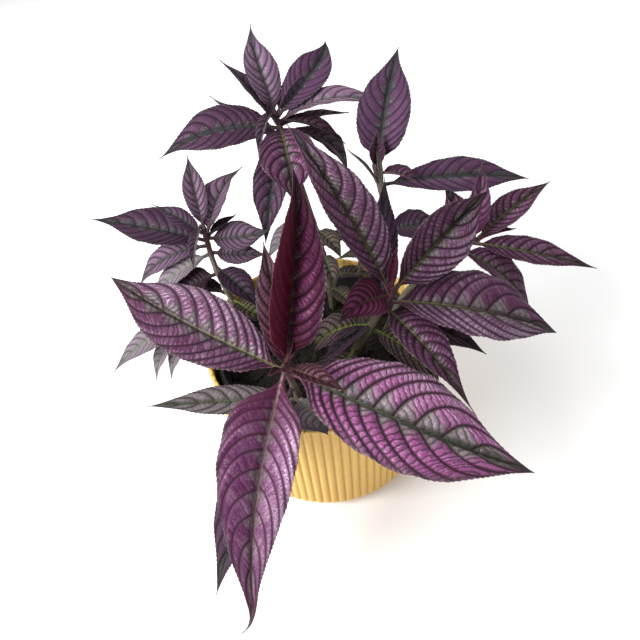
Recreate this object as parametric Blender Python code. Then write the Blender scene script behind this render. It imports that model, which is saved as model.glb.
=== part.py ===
"""Potted Persian shield: seven leafy shoots rooted in a nursery pot that stands in a cover pot.

Origin: the centre of the cover pot's flat base. +Z is up and -Y is the side that the nearest shoot leans to.
The tables below are in millimetres and degrees, and MM turns them into Blender's metres.
"""
import math
from collections import namedtuple

import bmesh
import bpy
from mathutils import Matrix, Vector

MM = 0.001
GAP = 0.3

# Cover pot: a thin fluted wall with a rounded foot
COVER_RADIUS = 70.0
COVER_HEIGHT = 96.0
COVER_WALL = 2.6
COVER_FLOOR = 3.0
COVER_FOOT_RADIUS = 8.0
LIP_ROUND = 0.6
LIP_HEIGHT = 3.0
FLUTES = 88
FLUTE_DEPTH = 1.2
INNER_FLUTE_SHARE = 0.5

# Nursery pot: a tapered plastic liner with a rolled rim and drainage holes
NURSERY_TOP = 88.0
NURSERY_RIM_RADIUS = 64.8
NURSERY_RIM_DEPTH = 7.0
NURSERY_TOP_RADIUS = 63.0
NURSERY_BASE_RADIUS = 47.0
NURSERY_WALL = 1.2
DRAIN_HOLES = 6
DRAIN_RADIUS = 4.0
DRAIN_CIRCLE = 30.0
DRAIN_TURN = 0.3

# Soil: it fills the liner to this height at its edge and domes a little in the middle
SOIL_TOP = 74.0
SOIL_DOME = 2.0
ROOT_DEPTH = 18.0

POT_SIDES = 64
STEM_SIDES = 8
STEM_RINGS_PER_SPAN = 3

# Leaves
LEAF_STATIONS = 10
LEAF_THICKNESS = 0.9
PETIOLE_HALF_WIDTH = 1.1
LANCEOLATE = 0.85
DRAWN_TIP = 1.3
HOOK_START = 0.8
BASE_CLEARANCE = 0.8

YELLOW = (0.76, 0.50, 0.20)
BLACK_PLASTIC = (0.012, 0.012, 0.013)
PEAT = (0.018, 0.013, 0.010)
BARK = (0.16, 0.12, 0.07)
PURPLE = (0.21, 0.05, 0.17)
MAROON = (0.13, 0.012, 0.05)
GREY_PURPLE = (0.13, 0.06, 0.11)
LILAC = (0.30, 0.22, 0.28)
OLIVE = (0.09, 0.085, 0.055)
DARK = (0.03, 0.012, 0.025)

Stem = namedtuple("Stem", "base_radius tip_radius points")
LEAF_FIELDS = "name stem below heading rise length width droop sweep fold roll colour outline tip hook"
Leaf = namedtuple("Leaf", LEAF_FIELDS, defaults=(LANCEOLATE, DRAWN_TIP, 0))

# Each stem: radii, then its points from the soil up to the shoot's tip
STEMS = {
    "front_stem": Stem(2.4, 1.5, ((-14, -44, 78), (-14, -50, 98), (-15, -56, 120), (-17, -60, 142))),
    "right_stem": Stem(3.0, 1.6, ((20, -8, 78), (24, -16, 100), (30, -24, 124), (41, -25, 149))),
    "back_stem": Stem(2.6, 1.4, ((12, 40, 78), (10, 50, 106), (1, 76, 147), (-11, 115, 182))),
    "rear_right_stem": Stem(2.6, 1.5, ((40, 31, 78), (49, 42, 108), (50, 56, 142), (47, 73, 162))),
    "left_stem": Stem(2.4, 1.4, ((-42, 20, 78), (-51, 27, 100), (-60, 42, 122), (-65, 62, 139))),
    "far_right_stem": Stem(2.4, 1.5, ((44, 10, 78), (57, 18, 101), (84, 34, 114), (112, 49, 113))),
    "low_left_stem": Stem(2.2, 1.3, ((-44, 0, 78), (-56, 3, 99), (-72, 8, 108), (-86, 12, 104))),
}

# Each leaf: the stem it grows on, how far below the stem's tip, then its direction, size, bend,
# colour and outline; an outline number below LANCEOLATE puts the widest place nearer the base, a
# tip number above DRAWN_TIP draws the tip out finer, and a hook turns it sideways
LEAVES = (
    Leaf("front_leaf_1", "front_stem", 6, 145, 3, 119, 40, -4, -8, 15, -14, PURPLE, 0.9, 1.15),
    Leaf("front_leaf_2", "front_stem", 5, -29, -11, 122, 55, 12, 16, 12, 0, PURPLE, 0.88, 1.15),
    Leaf("front_leaf_3", "front_stem", 3, -117, -35, 138, 43, 24, 30, 25, 0, PURPLE, 0.55, 1.6, -90),
    Leaf("front_leaf_4", "front_stem", 2, 71, 60, 100, 34, 45, 24, 40, 32, PURPLE, 0.64),
    Leaf("front_leaf_5", "front_stem", 10, 96, 46, 67, 22, 24, 0, 30, 0, PURPLE),
    Leaf("front_leaf_6", "front_stem", 1, -34, 8, 30, 12, 14, 0, 30, 0, MAROON),
    Leaf("front_leaf_7", "front_stem", 22, -129, -32, 121, 30, 26, 0, 20, 0, GREY_PURPLE),
    Leaf("front_leaf_8", "front_stem", 43, 174, 2, 83, 18, 8, 0, 15, -14, GREY_PURPLE),
    Leaf("right_leaf_1", "right_stem", 2, 124, 50, 98, 31, 20, 0, 25, 0, PURPLE),
    Leaf("right_leaf_2", "right_stem", 1, 36, 25, 75, 33, 12, 0, 28, 46, PURPLE),
    Leaf("right_leaf_3", "right_stem", 8, -12, 1, 88, 46, 28, 0, 15, 4, PURPLE, 1.0, 1.05),
    Leaf("right_leaf_4", "right_stem", 5, -160, 22, 30, 24, 70, 0, 20, -20, MAROON, 0.55),
    Leaf("right_leaf_5", "right_stem", 12, -60, -6, 69, 28, 20, -10, 20, 0, MAROON, 0.7, 2.1),
    Leaf("right_leaf_6", "right_stem", 14, 78, 50, 68, 18, 20, 0, 20, 0, GREY_PURPLE),
    Leaf("right_leaf_7", "right_stem", 30, 178, 12, 43, 22, 100, 0, 15, 0, OLIVE),
    Leaf("right_leaf_8", "right_stem", 31, -42, 2, 50, 24, 60, 0, 20, 0, OLIVE),
    Leaf("right_leaf_9", "right_stem", 60, -122, 20, 65, 28, 34, 0, 15, 0, OLIVE),
    Leaf("right_leaf_10", "right_stem", 15, -22, -6, 58, 24, 30, 0, 15, 0, DARK),
    Leaf("back_leaf_1", "back_stem", 1, 115, 62, 58, 23, 30, -32, 20, 0, GREY_PURPLE, 0.85, 1.7),
    Leaf("back_leaf_2", "back_stem", 2, 18, 42, 60, 26, 24, 74, 20, 30, GREY_PURPLE, 0.95),
    Leaf("back_leaf_3", "back_stem", 6, 138, 50, 52, 15, 26, 0, 20, 8, GREY_PURPLE, 0.85, 1.5),
    Leaf("back_leaf_4", "back_stem", 9, 180, 14, 83, 31, 46, 0, 15, -35, GREY_PURPLE, 0.85, 1.7),
    Leaf("back_leaf_5", "back_stem", 6, -5, 33, 73, 20, 60, -12, 20, 10, GREY_PURPLE),
    Leaf("back_leaf_6", "back_stem", 10, -83, -5, 56, 38, 50, -8, 20, 0, PURPLE, 1.05),
    Leaf("back_leaf_7", "back_stem", 16, -107, -25, 71, 26, 45, -24, 20, 0, GREY_PURPLE),
    Leaf("back_leaf_8", "back_stem", 12, -14, 2, 54, 26, 80, 0, 15, 0, DARK, 1.5),
    Leaf("back_leaf_9", "back_stem", 8, 4, 10, 44, 12, 18, 0, 15, 0, DARK),
    Leaf("back_leaf_10", "back_stem", 16, 142, 13, 59, 16, -10, 0, 15, 0, GREY_PURPLE, 0.85, 1.9),
    Leaf("rear_right_leaf_1", "rear_right_stem", 1, 70, 55, 75, 35, 30, -5, 20, 0, PURPLE, 0.74),
    Leaf("rear_right_leaf_2", "rear_right_stem", 13, 7, -1, 98, 26, 14, -8, 10, 28, GREY_PURPLE, 1.1),
    Leaf("rear_right_leaf_3", "rear_right_stem", 42, 2, 10, 37, 26, 25, 0, 10, 10, OLIVE),
    Leaf("left_leaf_1", "left_stem", 1, 99, 55, 51, 16, 40, 0, 20, 0, GREY_PURPLE, 0.85, 1.7),
    Leaf("left_leaf_2", "left_stem", 4, 58, 47, 48, 24, 30, -30, 28, 0, GREY_PURPLE, 0.85, 1.8),
    Leaf("left_leaf_3", "left_stem", 8, 165, 15, 76, 29, 11, 0, 15, -16, GREY_PURPLE, 0.8, 1.8),
    Leaf("left_leaf_4", "left_stem", 8, -4, -10, 39, 23, -22, 14, 15, 24, GREY_PURPLE),
    Leaf("left_leaf_5", "left_stem", 12, 176, -5, 62, 18, 50, 0, 20, -30, GREY_PURPLE),
    Leaf("left_leaf_6", "left_stem", 18, -8, -10, 33, 18, -6, 10, 15, 20, OLIVE),
    Leaf("left_leaf_7", "left_stem", 31, -178, -16, 44, 24, 20, 0, 15, -20, DARK),
    Leaf("left_leaf_8", "left_stem", 29, -48, -5, 38, 20, 30, 0, 20, 0, GREY_PURPLE),
    Leaf("left_leaf_9", "left_stem", 3, 148, 31, 38, 13, 24, 0, 15, -22, GREY_PURPLE, 0.85, 2.2),
    Leaf("left_leaf_10", "left_stem", 18, -172, -16, 55, 17, 34, 0, 15, -20, LILAC),
    Leaf("left_leaf_11", "left_stem", 52, -45, 3, 26, 26, 20, 0, 15, 0, OLIVE),
    Leaf("far_right_leaf_1", "far_right_stem", 1, 17, 38, 55, 22, 18, 0, 20, 15, GREY_PURPLE),
    Leaf("far_right_leaf_2", "far_right_stem", 5, -20, -3, 76, 22, 10, 0, 15, 14, GREY_PURPLE),
    Leaf("far_right_leaf_3", "far_right_stem", 18, -30, -14, 66, 28, 48, 0, 20, 0, GREY_PURPLE),
    Leaf("far_right_leaf_4", "far_right_stem", 5, 79, 84, 50, 16, 20, 0, 25, 0, MAROON),
    Leaf("far_right_leaf_5", "far_right_stem", 10, 107, 44, 40, 20, 10, 0, 20, 0, PURPLE),
    Leaf("low_left_leaf_1", "low_left_stem", 1, -170, -10, 56, 18, 38, 0, 15, -20, LILAC, 0.6),
    Leaf("low_left_leaf_2", "low_left_stem", 7, -166, -30, 52, 14, 46, 0, 20, -20, LILAC),
    Leaf("low_left_leaf_3", "low_left_stem", 14, -156, -34, 45, 14, 38, 0, 20, -10, LILAC),
)


def clear_scene():
    for old in list(bpy.data.objects):
        bpy.data.objects.remove(old, do_unlink=True)


def make_material(name, colour, roughness):
    material = bpy.data.materials.new(name)
    material.use_nodes = True
    shader = material.node_tree.nodes["Principled BSDF"]
    shader.inputs["Base Color"].default_value = (*colour, 1.0)
    shader.inputs["Roughness"].default_value = roughness
    shader.inputs["Metallic"].default_value = 0.0
    return material


def add_object(name, bm, colour, roughness):
    """Turn a bmesh in millimetres into a named, smooth-shaded object in metres."""
    bmesh.ops.scale(bm, vec=(MM, MM, MM), verts=bm.verts)
    bmesh.ops.recalc_face_normals(bm, faces=bm.faces)
    mesh = bpy.data.meshes.new(name)
    bm.to_mesh(mesh)
    bm.free()
    mesh.materials.append(make_material(name, colour, roughness))
    mesh.shade_smooth()
    mesh.set_sharp_from_angle(angle=math.radians(40))
    built = bpy.data.objects.new(name, mesh)
    bpy.context.scene.collection.objects.link(built)
    return built


def lathe(profile, sides, sink=None):
    """Spin (radius, height) points about Z; a radius of zero closes the shape on the axis.

    Where sink is given, it says how far every second side of a ring is drawn in.
    """
    bm = bmesh.new()
    rings = []
    for radius, height in profile:
        if radius == 0.0:
            rings.append([bm.verts.new((0.0, 0.0, height))])
            continue
        drawn_in = sink(radius, height) if sink else 0.0
        ring = []
        for index in range(sides):
            angle = math.tau * index / sides
            reach = radius - drawn_in * (index % 2 == 0)
            ring.append(bm.verts.new((reach * math.cos(angle), reach * math.sin(angle), height)))
        rings.append(ring)
    for lower, upper in zip(rings, rings[1:]):
        for index in range(sides):
            following = (index + 1) % sides
            if len(lower) == 1:
                bm.faces.new((lower[0], upper[index], upper[following]))
            elif len(upper) == 1:
                bm.faces.new((lower[index], lower[following], upper[0]))
            else:
                bm.faces.new((lower[index], lower[following], upper[following], upper[index]))
    return bm


def arc(centre_radius, centre_height, radius, start, end, steps):
    """Profile points on a circular arc, angles in degrees from the outward direction."""
    points = []
    for step in range(steps + 1):
        angle = math.radians(start + (end - start) * step / steps)
        points.append((centre_radius + radius * math.cos(angle), centre_height + radius * math.sin(angle)))
    return points


def flute_depth(radius, height):
    """Flutes grow out of the foot and end below the plain lip; they are shallower inside."""
    if height > COVER_HEIGHT - LIP_HEIGHT - 0.1:
        return 0.0
    if radius > COVER_RADIUS - COVER_WALL / 2 or height < COVER_FLOOR:
        return FLUTE_DEPTH * min(1.0, height / COVER_FOOT_RADIUS)
    return INNER_FLUTE_SHARE * FLUTE_DEPTH * min(1.0, (height - COVER_FLOOR) / COVER_FOOT_RADIUS)


def build_cover_pot():
    inner_radius = COVER_RADIUS - COVER_WALL
    foot = COVER_FOOT_RADIUS
    lip = COVER_HEIGHT - LIP_HEIGHT
    profile = [(0.0, 0.0)]
    profile += arc(COVER_RADIUS - foot, foot, foot, -90, 0, 4)
    profile += [(COVER_RADIUS, lip - LIP_ROUND), (COVER_RADIUS, lip)]
    profile += [(COVER_RADIUS, COVER_HEIGHT - LIP_ROUND)]
    profile += [(COVER_RADIUS - LIP_ROUND, COVER_HEIGHT)]
    profile += [(inner_radius + LIP_ROUND, COVER_HEIGHT)]
    profile += [(inner_radius, COVER_HEIGHT - LIP_ROUND)]
    profile += [(inner_radius, lip), (inner_radius, lip - LIP_ROUND)]
    profile += arc(inner_radius - foot, COVER_FLOOR + foot, foot, 0, -90, 3)
    profile += [(0.0, COVER_FLOOR)]
    add_object("cover_pot", lathe(profile, 2 * FLUTES, flute_depth), YELLOW, 0.55)


def nursery_inner_radius(height):
    """Radius of the liner's inner wall at a height above the ground."""
    base = COVER_FLOOR + GAP
    share = (height - base) / (NURSERY_TOP - base)
    return NURSERY_BASE_RADIUS + (NURSERY_TOP_RADIUS - NURSERY_BASE_RADIUS) * share - NURSERY_WALL


def build_nursery_pot():
    base = COVER_FLOOR + GAP
    shoulder = NURSERY_TOP - NURSERY_RIM_DEPTH
    floor = base + NURSERY_WALL
    profile = [
        (0.0, base),
        (NURSERY_BASE_RADIUS, base),
        (nursery_inner_radius(shoulder) + NURSERY_WALL, shoulder),
        (NURSERY_RIM_RADIUS, shoulder),
        (NURSERY_RIM_RADIUS, NURSERY_TOP),
        (nursery_inner_radius(NURSERY_TOP), NURSERY_TOP),
        (nursery_inner_radius(floor), floor),
        (0.0, floor),
    ]
    liner = add_object("nursery_pot", lathe(profile, POT_SIDES), BLACK_PLASTIC, 0.45)
    for index in range(DRAIN_HOLES):
        angle = math.tau * (index + DRAIN_TURN) / DRAIN_HOLES
        place = (DRAIN_CIRCLE * math.cos(angle), DRAIN_CIRCLE * math.sin(angle), floor)
        cut_round_hole(liner, place, DRAIN_RADIUS, 3 * NURSERY_WALL, 12)


def cut_round_hole(target, centre, radius, depth, sides):
    """Cut a vertical round hole of the given full depth, centred on the given point."""
    bm = bmesh.new()
    bmesh.ops.create_cone(bm, cap_ends=True, segments=sides, radius1=radius, radius2=radius, depth=depth)
    bmesh.ops.translate(bm, vec=centre, verts=bm.verts)
    cutter = add_object(target.name + "_cutter", bm, PEAT, 1.0)
    cutter.hide_render = True
    cutter.display_type = "WIRE"
    cut = target.modifiers.new("hole", "BOOLEAN")
    cut.operation = "DIFFERENCE"
    cut.solver = "EXACT"
    cut.object = cutter


def build_soil():
    bottom = COVER_FLOOR + GAP + NURSERY_WALL + GAP
    profile = [
        (0.0, bottom),
        (nursery_inner_radius(bottom) - GAP, bottom),
        (nursery_inner_radius(SOIL_TOP) - GAP, SOIL_TOP),
        (nursery_inner_radius(SOIL_TOP) * 0.6, SOIL_TOP + 0.8 * SOIL_DOME),
        (0.0, SOIL_TOP + SOIL_DOME),
    ]
    soil = add_object("potting_soil", lathe(profile, 32), PEAT, 0.95)
    for stem in STEMS.values():
        x, y, _ = stem.points[0]
        socket = (x, y, SOIL_TOP)
        cut_round_hole(soil, socket, stem.base_radius + GAP, 2 * (ROOT_DEPTH + GAP), 12)


def smooth_path(points, steps):
    """Sample a Catmull-Rom curve through the points."""
    knots = [Vector(point) for point in points]
    knots = [2 * knots[0] - knots[1]] + knots + [2 * knots[-1] - knots[-2]]
    path = []
    for before, start, end, after in zip(knots, knots[1:], knots[2:], knots[3:]):
        for step in range(steps):
            t = step / steps
            linear = (end - before) * t
            square = (2 * before - 5 * start + 4 * end - after) * t ** 2
            cube = (3 * start - before - 3 * end + after) * t ** 3
            path.append(0.5 * (2 * start + linear + square + cube))
    path.append(knots[-2])
    return path


def stem_path(stem):
    """The rooted straight length, then the curve through the stem's points."""
    root = Vector(stem.points[0]) - Vector((0, 0, ROOT_DEPTH))
    return [root] + smooth_path(stem.points, STEM_RINGS_PER_SPAN)


def stem_radius(stem, height_share):
    return stem.base_radius + (stem.tip_radius - stem.base_radius) * height_share


def build_stem(name, stem):
    path = stem_path(stem)
    bm = bmesh.new()
    rings = []
    for index, centre in enumerate(path):
        ahead = path[min(index + 1, len(path) - 1)]
        behind = path[max(index - 1, 0)]
        along = (ahead - behind).normalized()
        if index == 0:
            along = Vector((0, 0, 1))
        turn = Vector((0, 0, 1)).rotation_difference(along).to_matrix()
        radius = stem_radius(stem, index / (len(path) - 1))
        ring = []
        for side in range(STEM_SIDES):
            angle = math.tau * (side + 0.5) / STEM_SIDES
            offset = turn @ Vector((radius * math.cos(angle), radius * math.sin(angle), 0.0))
            ring.append(bm.verts.new(centre + offset))
        rings.append(ring)
    for lower, upper in zip(rings, rings[1:]):
        for side in range(STEM_SIDES):
            following = (side + 1) % STEM_SIDES
            bm.faces.new((lower[side], lower[following], upper[following], upper[side]))
    bm.faces.new(rings[0])
    bm.faces.new(rings[-1])
    add_object(name, bm, BARK, 0.7)


def point_below_tip(stem, distance):
    """The point, direction and radius of a stem at a distance below its tip."""
    path = stem_path(stem)
    left = distance
    for index in range(len(path) - 1, 0, -1):
        span = path[index] - path[index - 1]
        if left <= span.length or index == 1:
            share = (index - left / span.length) / (len(path) - 1)
            place = path[index] - span.normalized() * left
            return place, span.normalized(), stem_radius(stem, share)
        left -= span.length


def smooth_step(share):
    share = min(1.0, max(0.0, share))
    return share * share * (3 - 2 * share)


def half_width(leaf, t):
    """Half of the blade's width at t, from the base at 0 to the drawn-out tip at 1."""
    crossing = math.sin(math.pi * t ** leaf.outline)
    widest_at = 0.5 ** (1 / leaf.outline)
    blade = crossing ** (0.9 if t < widest_at else leaf.tip)
    narrowing = smooth_step(t / 0.15) * (1 - 0.25 * smooth_step((t - 0.6) / 0.4))
    return max(PETIOLE_HALF_WIDTH * (1 - t), 0.5 * leaf.width * blade * narrowing)


def leaf_axes(leaf, t):
    """Forward, sideways and upward directions of the blade at t."""
    hooked = leaf.hook * smooth_step((t - HOOK_START) / (1 - HOOK_START))
    heading = math.radians(leaf.heading + leaf.sweep * t ** 2 + hooked)
    pitch = math.radians(leaf.rise - leaf.droop * t)
    level = Vector((math.cos(heading), math.sin(heading), 0.0))
    forward = level * math.cos(pitch) + Vector((0.0, 0.0, math.sin(pitch)))
    side = Vector((-math.sin(heading), math.cos(heading), 0.0))
    side.rotate(Matrix.Rotation(math.radians(leaf.roll), 3, forward))
    return forward, side, forward.cross(side)


def leaf_base(leaf):
    """Where the leaf's midrib starts, just clear of the stem's skin."""
    stem = STEMS[leaf.stem]
    place, along, radius = point_below_tip(stem, leaf.below)
    forward, _, _ = leaf_axes(leaf, 0.0)
    outward = forward - along * forward.dot(along)
    if outward.length < 0.2:
        outward = forward
    return place + outward.normalized() * (radius + BASE_CLEARANCE)


def leaf_stations(leaf):
    """Midrib points with the blade's side and up directions and half width at each."""
    fine = 40
    middle = leaf_base(leaf)
    stations = []
    for step in range(fine + 1):
        t = step / fine
        forward, side, up = leaf_axes(leaf, t)
        stations.append((t, middle.copy(), side, up))
        middle += forward * (leaf.length / fine)
    return stations


def build_leaf(leaf):
    stations = leaf_stations(leaf)
    fold = math.radians(leaf.fold)
    bm = bmesh.new()
    rings = []
    last = LEAF_STATIONS - 1
    for index in range(last):
        t, middle, side, up = stations[round(index / last * (len(stations) - 1))]
        half = half_width(leaf, t)
        lift = up * half * math.sin(fold)
        reach = side * half * math.cos(fold)
        thick = up * 0.5 * LEAF_THICKNESS * (1 - 0.6 * t)
        corners = (middle + thick, middle + reach + lift, middle - thick, middle - reach + lift)
        rings.append([bm.verts.new(corner) for corner in corners])
    tip = bm.verts.new(stations[-1][1])
    for lower, upper in zip(rings, rings[1:]):
        for index in range(4):
            following = (index + 1) % 4
            bm.faces.new((lower[index], lower[following], upper[following], upper[index]))
    bm.faces.new((rings[0][0], rings[0][1], rings[0][2]))
    bm.faces.new((rings[0][0], rings[0][2], rings[0][3]))
    for index in range(4):
        bm.faces.new((rings[-1][index], rings[-1][(index + 1) % 4], tip))
    bmesh.ops.triangulate(bm, faces=bm.faces)
    add_object(leaf.name, bm, leaf.colour, 0.5)


def main():
    clear_scene()
    build_cover_pot()
    build_nursery_pot()
    build_soil()
    for name, stem in STEMS.items():
        build_stem(name, stem)
    for leaf in LEAVES:
        build_leaf(leaf)


main()
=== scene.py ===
"""Potted Persian shield: quilted metallic-purple leaves on leaning shoots in a fluted yellow cover pot.

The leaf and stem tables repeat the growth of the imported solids, in millimetres and degrees, and each
dressed piece replaces its solid. Run it as a script: main() calls every operator once, in order.
"""
import math
from collections import namedtuple

import bmesh
import bpy
import numpy as np
from bpy.props import FloatProperty, FloatVectorProperty, IntProperty, PointerProperty
from mathutils import Matrix, Vector


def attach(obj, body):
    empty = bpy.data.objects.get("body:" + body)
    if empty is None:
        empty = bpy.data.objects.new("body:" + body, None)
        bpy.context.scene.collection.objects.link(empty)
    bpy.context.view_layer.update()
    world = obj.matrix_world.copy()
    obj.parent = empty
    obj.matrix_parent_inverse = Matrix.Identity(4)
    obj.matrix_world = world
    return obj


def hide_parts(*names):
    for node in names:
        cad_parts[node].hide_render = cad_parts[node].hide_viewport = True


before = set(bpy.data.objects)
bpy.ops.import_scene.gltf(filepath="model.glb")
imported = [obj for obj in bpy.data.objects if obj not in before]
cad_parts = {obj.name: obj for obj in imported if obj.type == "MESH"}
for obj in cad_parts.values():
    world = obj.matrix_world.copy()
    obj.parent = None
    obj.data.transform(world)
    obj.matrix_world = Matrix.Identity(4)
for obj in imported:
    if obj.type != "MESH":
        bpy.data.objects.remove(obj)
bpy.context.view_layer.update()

bl_info = {
    "name": "Potted Persian Shield",
    "version": (1, 0, 0),
    "blender": (4, 5, 0),
    "location": "View3D > Sidebar > Plant",
    "description": "Builds a potted Persian shield with quilted leaves in a fluted cover pot",
    "category": "Add Mesh",
}

MM = 0.001
BODY = "root"
HASH_STEP = 131
HASH_RANGE = 9973

# ---- Growth tables, the same as the solids' but for right_leaf_5, which is a little narrower ----
LANCEOLATE = 0.85
DRAWN_TIP = 1.3
HOOK_START = 0.8
Stem = namedtuple("Stem", "base_radius tip_radius points")
LEAF_FIELDS = "name stem below heading rise length width droop sweep fold roll finish outline tip hook"
Leaf = namedtuple("Leaf", LEAF_FIELDS, defaults=(LANCEOLATE, DRAWN_TIP, 0))

# Each stem: its radii, then its points from the soil up to the shoot's tip
STEMS = {
    "front_stem": Stem(2.4, 1.5, ((-14, -44, 78), (-14, -50, 98), (-15, -56, 120), (-17, -60, 142))),
    "right_stem": Stem(3.0, 1.6, ((20, -8, 78), (24, -16, 100), (30, -24, 124), (41, -25, 149))),
    "back_stem": Stem(2.6, 1.4, ((12, 40, 78), (10, 50, 106), (1, 76, 147), (-11, 115, 182))),
    "rear_right_stem": Stem(2.6, 1.5, ((40, 31, 78), (49, 42, 108), (50, 56, 142), (47, 73, 162))),
    "left_stem": Stem(2.4, 1.4, ((-42, 20, 78), (-51, 27, 100), (-60, 42, 122), (-65, 62, 139))),
    "far_right_stem": Stem(2.4, 1.5, ((44, 10, 78), (57, 18, 101), (84, 34, 114), (112, 49, 113))),
    "low_left_stem": Stem(2.2, 1.3, ((-44, 0, 78), (-56, 3, 99), (-72, 8, 108), (-86, 12, 104))),
}


def crown(stem, *rows):
    """The leaves that grow on one stem, numbered from 1."""
    return tuple(Leaf(f"{stem}_leaf_{number}", stem + "_stem", *row) for number, row in enumerate(rows, 1))


# Each leaf: how far below its stem's tip it grows, then its direction, size, bend, finish and
# outline; an outline number below LANCEOLATE puts the widest place nearer the base, a tip number
# above DRAWN_TIP draws the tip out finer, and a hook turns it sideways
LEAVES = (
    *crown(
        "front",
        (6, 145, 3, 119, 40, -4, -8, 15, -14, "purple", 0.9, 1.15),
        (5, -29, -11, 122, 55, 12, 16, 12, 0, "purple", 0.88, 1.15),
        (3, -117, -35, 138, 43, 24, 30, 25, 0, "purple", 0.55, 1.6, -90),
        (2, 71, 60, 100, 34, 45, 24, 40, 32, "purple", 0.64),
        (10, 96, 46, 67, 22, 24, 0, 30, 0, "purple"),
        (1, -34, 8, 30, 12, 14, 0, 30, 0, "maroon"),
        (22, -129, -32, 121, 30, 26, 0, 20, 0, "grey_purple"),
        (43, 174, 2, 83, 18, 8, 0, 15, -14, "grey_purple"),
    ),
    *crown(
        "right",
        (2, 124, 50, 98, 31, 20, 0, 25, 0, "purple"),
        (1, 36, 25, 75, 33, 12, 0, 28, 46, "purple"),
        (8, -12, 1, 88, 46, 28, 0, 15, 4, "purple", 1.0, 1.05),
        (5, -160, 22, 30, 24, 70, 0, 20, -20, "maroon", 0.55),
        (12, -58, -6, 69, 24, 20, -10, 20, 0, "maroon", 0.7, 2.1),
        (14, 78, 50, 68, 18, 20, 0, 20, 0, "grey_purple"),
        (30, 178, 12, 43, 22, 100, 0, 15, 0, "olive"),
        (31, -42, 2, 50, 24, 60, 0, 20, 0, "olive"),
        (60, -122, 20, 65, 28, 34, 0, 15, 0, "olive"),
        (15, -22, -6, 58, 24, 30, 0, 15, 0, "dark"),
    ),
    *crown(
        "back",
        (1, 115, 62, 58, 23, 30, -32, 20, 0, "grey_purple", 0.85, 1.7),
        (2, 18, 42, 60, 26, 24, 74, 20, 30, "grey_purple", 0.95),
        (6, 138, 50, 52, 15, 26, 0, 20, 8, "grey_purple", 0.85, 1.5),
        (9, 180, 14, 83, 31, 46, 0, 15, -35, "grey_purple", 0.85, 1.7),
        (6, -5, 33, 73, 20, 60, -12, 20, 10, "grey_purple"),
        (10, -83, -5, 56, 38, 50, -8, 20, 0, "purple", 1.05),
        (16, -107, -25, 71, 26, 45, -24, 20, 0, "grey_purple"),
        (12, -14, 2, 54, 26, 80, 0, 15, 0, "dark", 1.5),
        (8, 4, 10, 44, 12, 18, 0, 15, 0, "dark"),
        (16, 142, 13, 59, 16, -10, 0, 15, 0, "grey_purple", 0.85, 1.9),
    ),
    *crown(
        "rear_right",
        (1, 70, 55, 75, 35, 30, -5, 20, 0, "purple", 0.74),
        (13, 7, -1, 98, 26, 14, -8, 10, 28, "grey_purple", 1.1),
        (42, 2, 10, 37, 26, 25, 0, 10, 10, "olive"),
    ),
    *crown(
        "left",
        (1, 99, 55, 51, 16, 40, 0, 20, 0, "grey_purple", 0.85, 1.7),
        (4, 58, 47, 48, 24, 30, -30, 28, 0, "grey_purple", 0.85, 1.8),
        (8, 165, 15, 76, 29, 11, 0, 15, -16, "grey_purple", 0.8, 1.8),
        (8, -4, -10, 39, 23, -22, 14, 15, 24, "grey_purple"),
        (12, 176, -5, 62, 18, 50, 0, 20, -30, "grey_purple"),
        (18, -8, -10, 33, 18, -6, 10, 15, 20, "olive"),
        (31, -178, -16, 44, 24, 20, 0, 15, -20, "dark"),
        (29, -48, -5, 38, 20, 30, 0, 20, 0, "grey_purple"),
        (3, 148, 31, 38, 13, 24, 0, 15, -22, "grey_purple", 0.85, 2.2),
        (18, -172, -16, 55, 17, 34, 0, 15, -20, "lilac"),
        (52, -45, 3, 26, 26, 20, 0, 15, 0, "olive"),
    ),
    *crown(
        "far_right",
        (1, 17, 38, 55, 22, 18, 0, 20, 15, "grey_purple"),
        (5, -20, -3, 76, 22, 10, 0, 15, 14, "grey_purple"),
        (18, -30, -14, 66, 28, 48, 0, 20, 0, "grey_purple"),
        (5, 79, 84, 50, 16, 20, 0, 25, 0, "maroon"),
        (10, 107, 44, 40, 20, 10, 0, 20, 0, "purple"),
    ),
    *crown(
        "low_left",
        (1, -170, -10, 56, 18, 38, 0, 15, -20, "lilac", 0.6),
        (7, -166, -30, 52, 14, 46, 0, 20, -20, "lilac"),
        (14, -156, -34, 45, 14, 38, 0, 20, -10, "lilac"),
    ),
)

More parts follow.
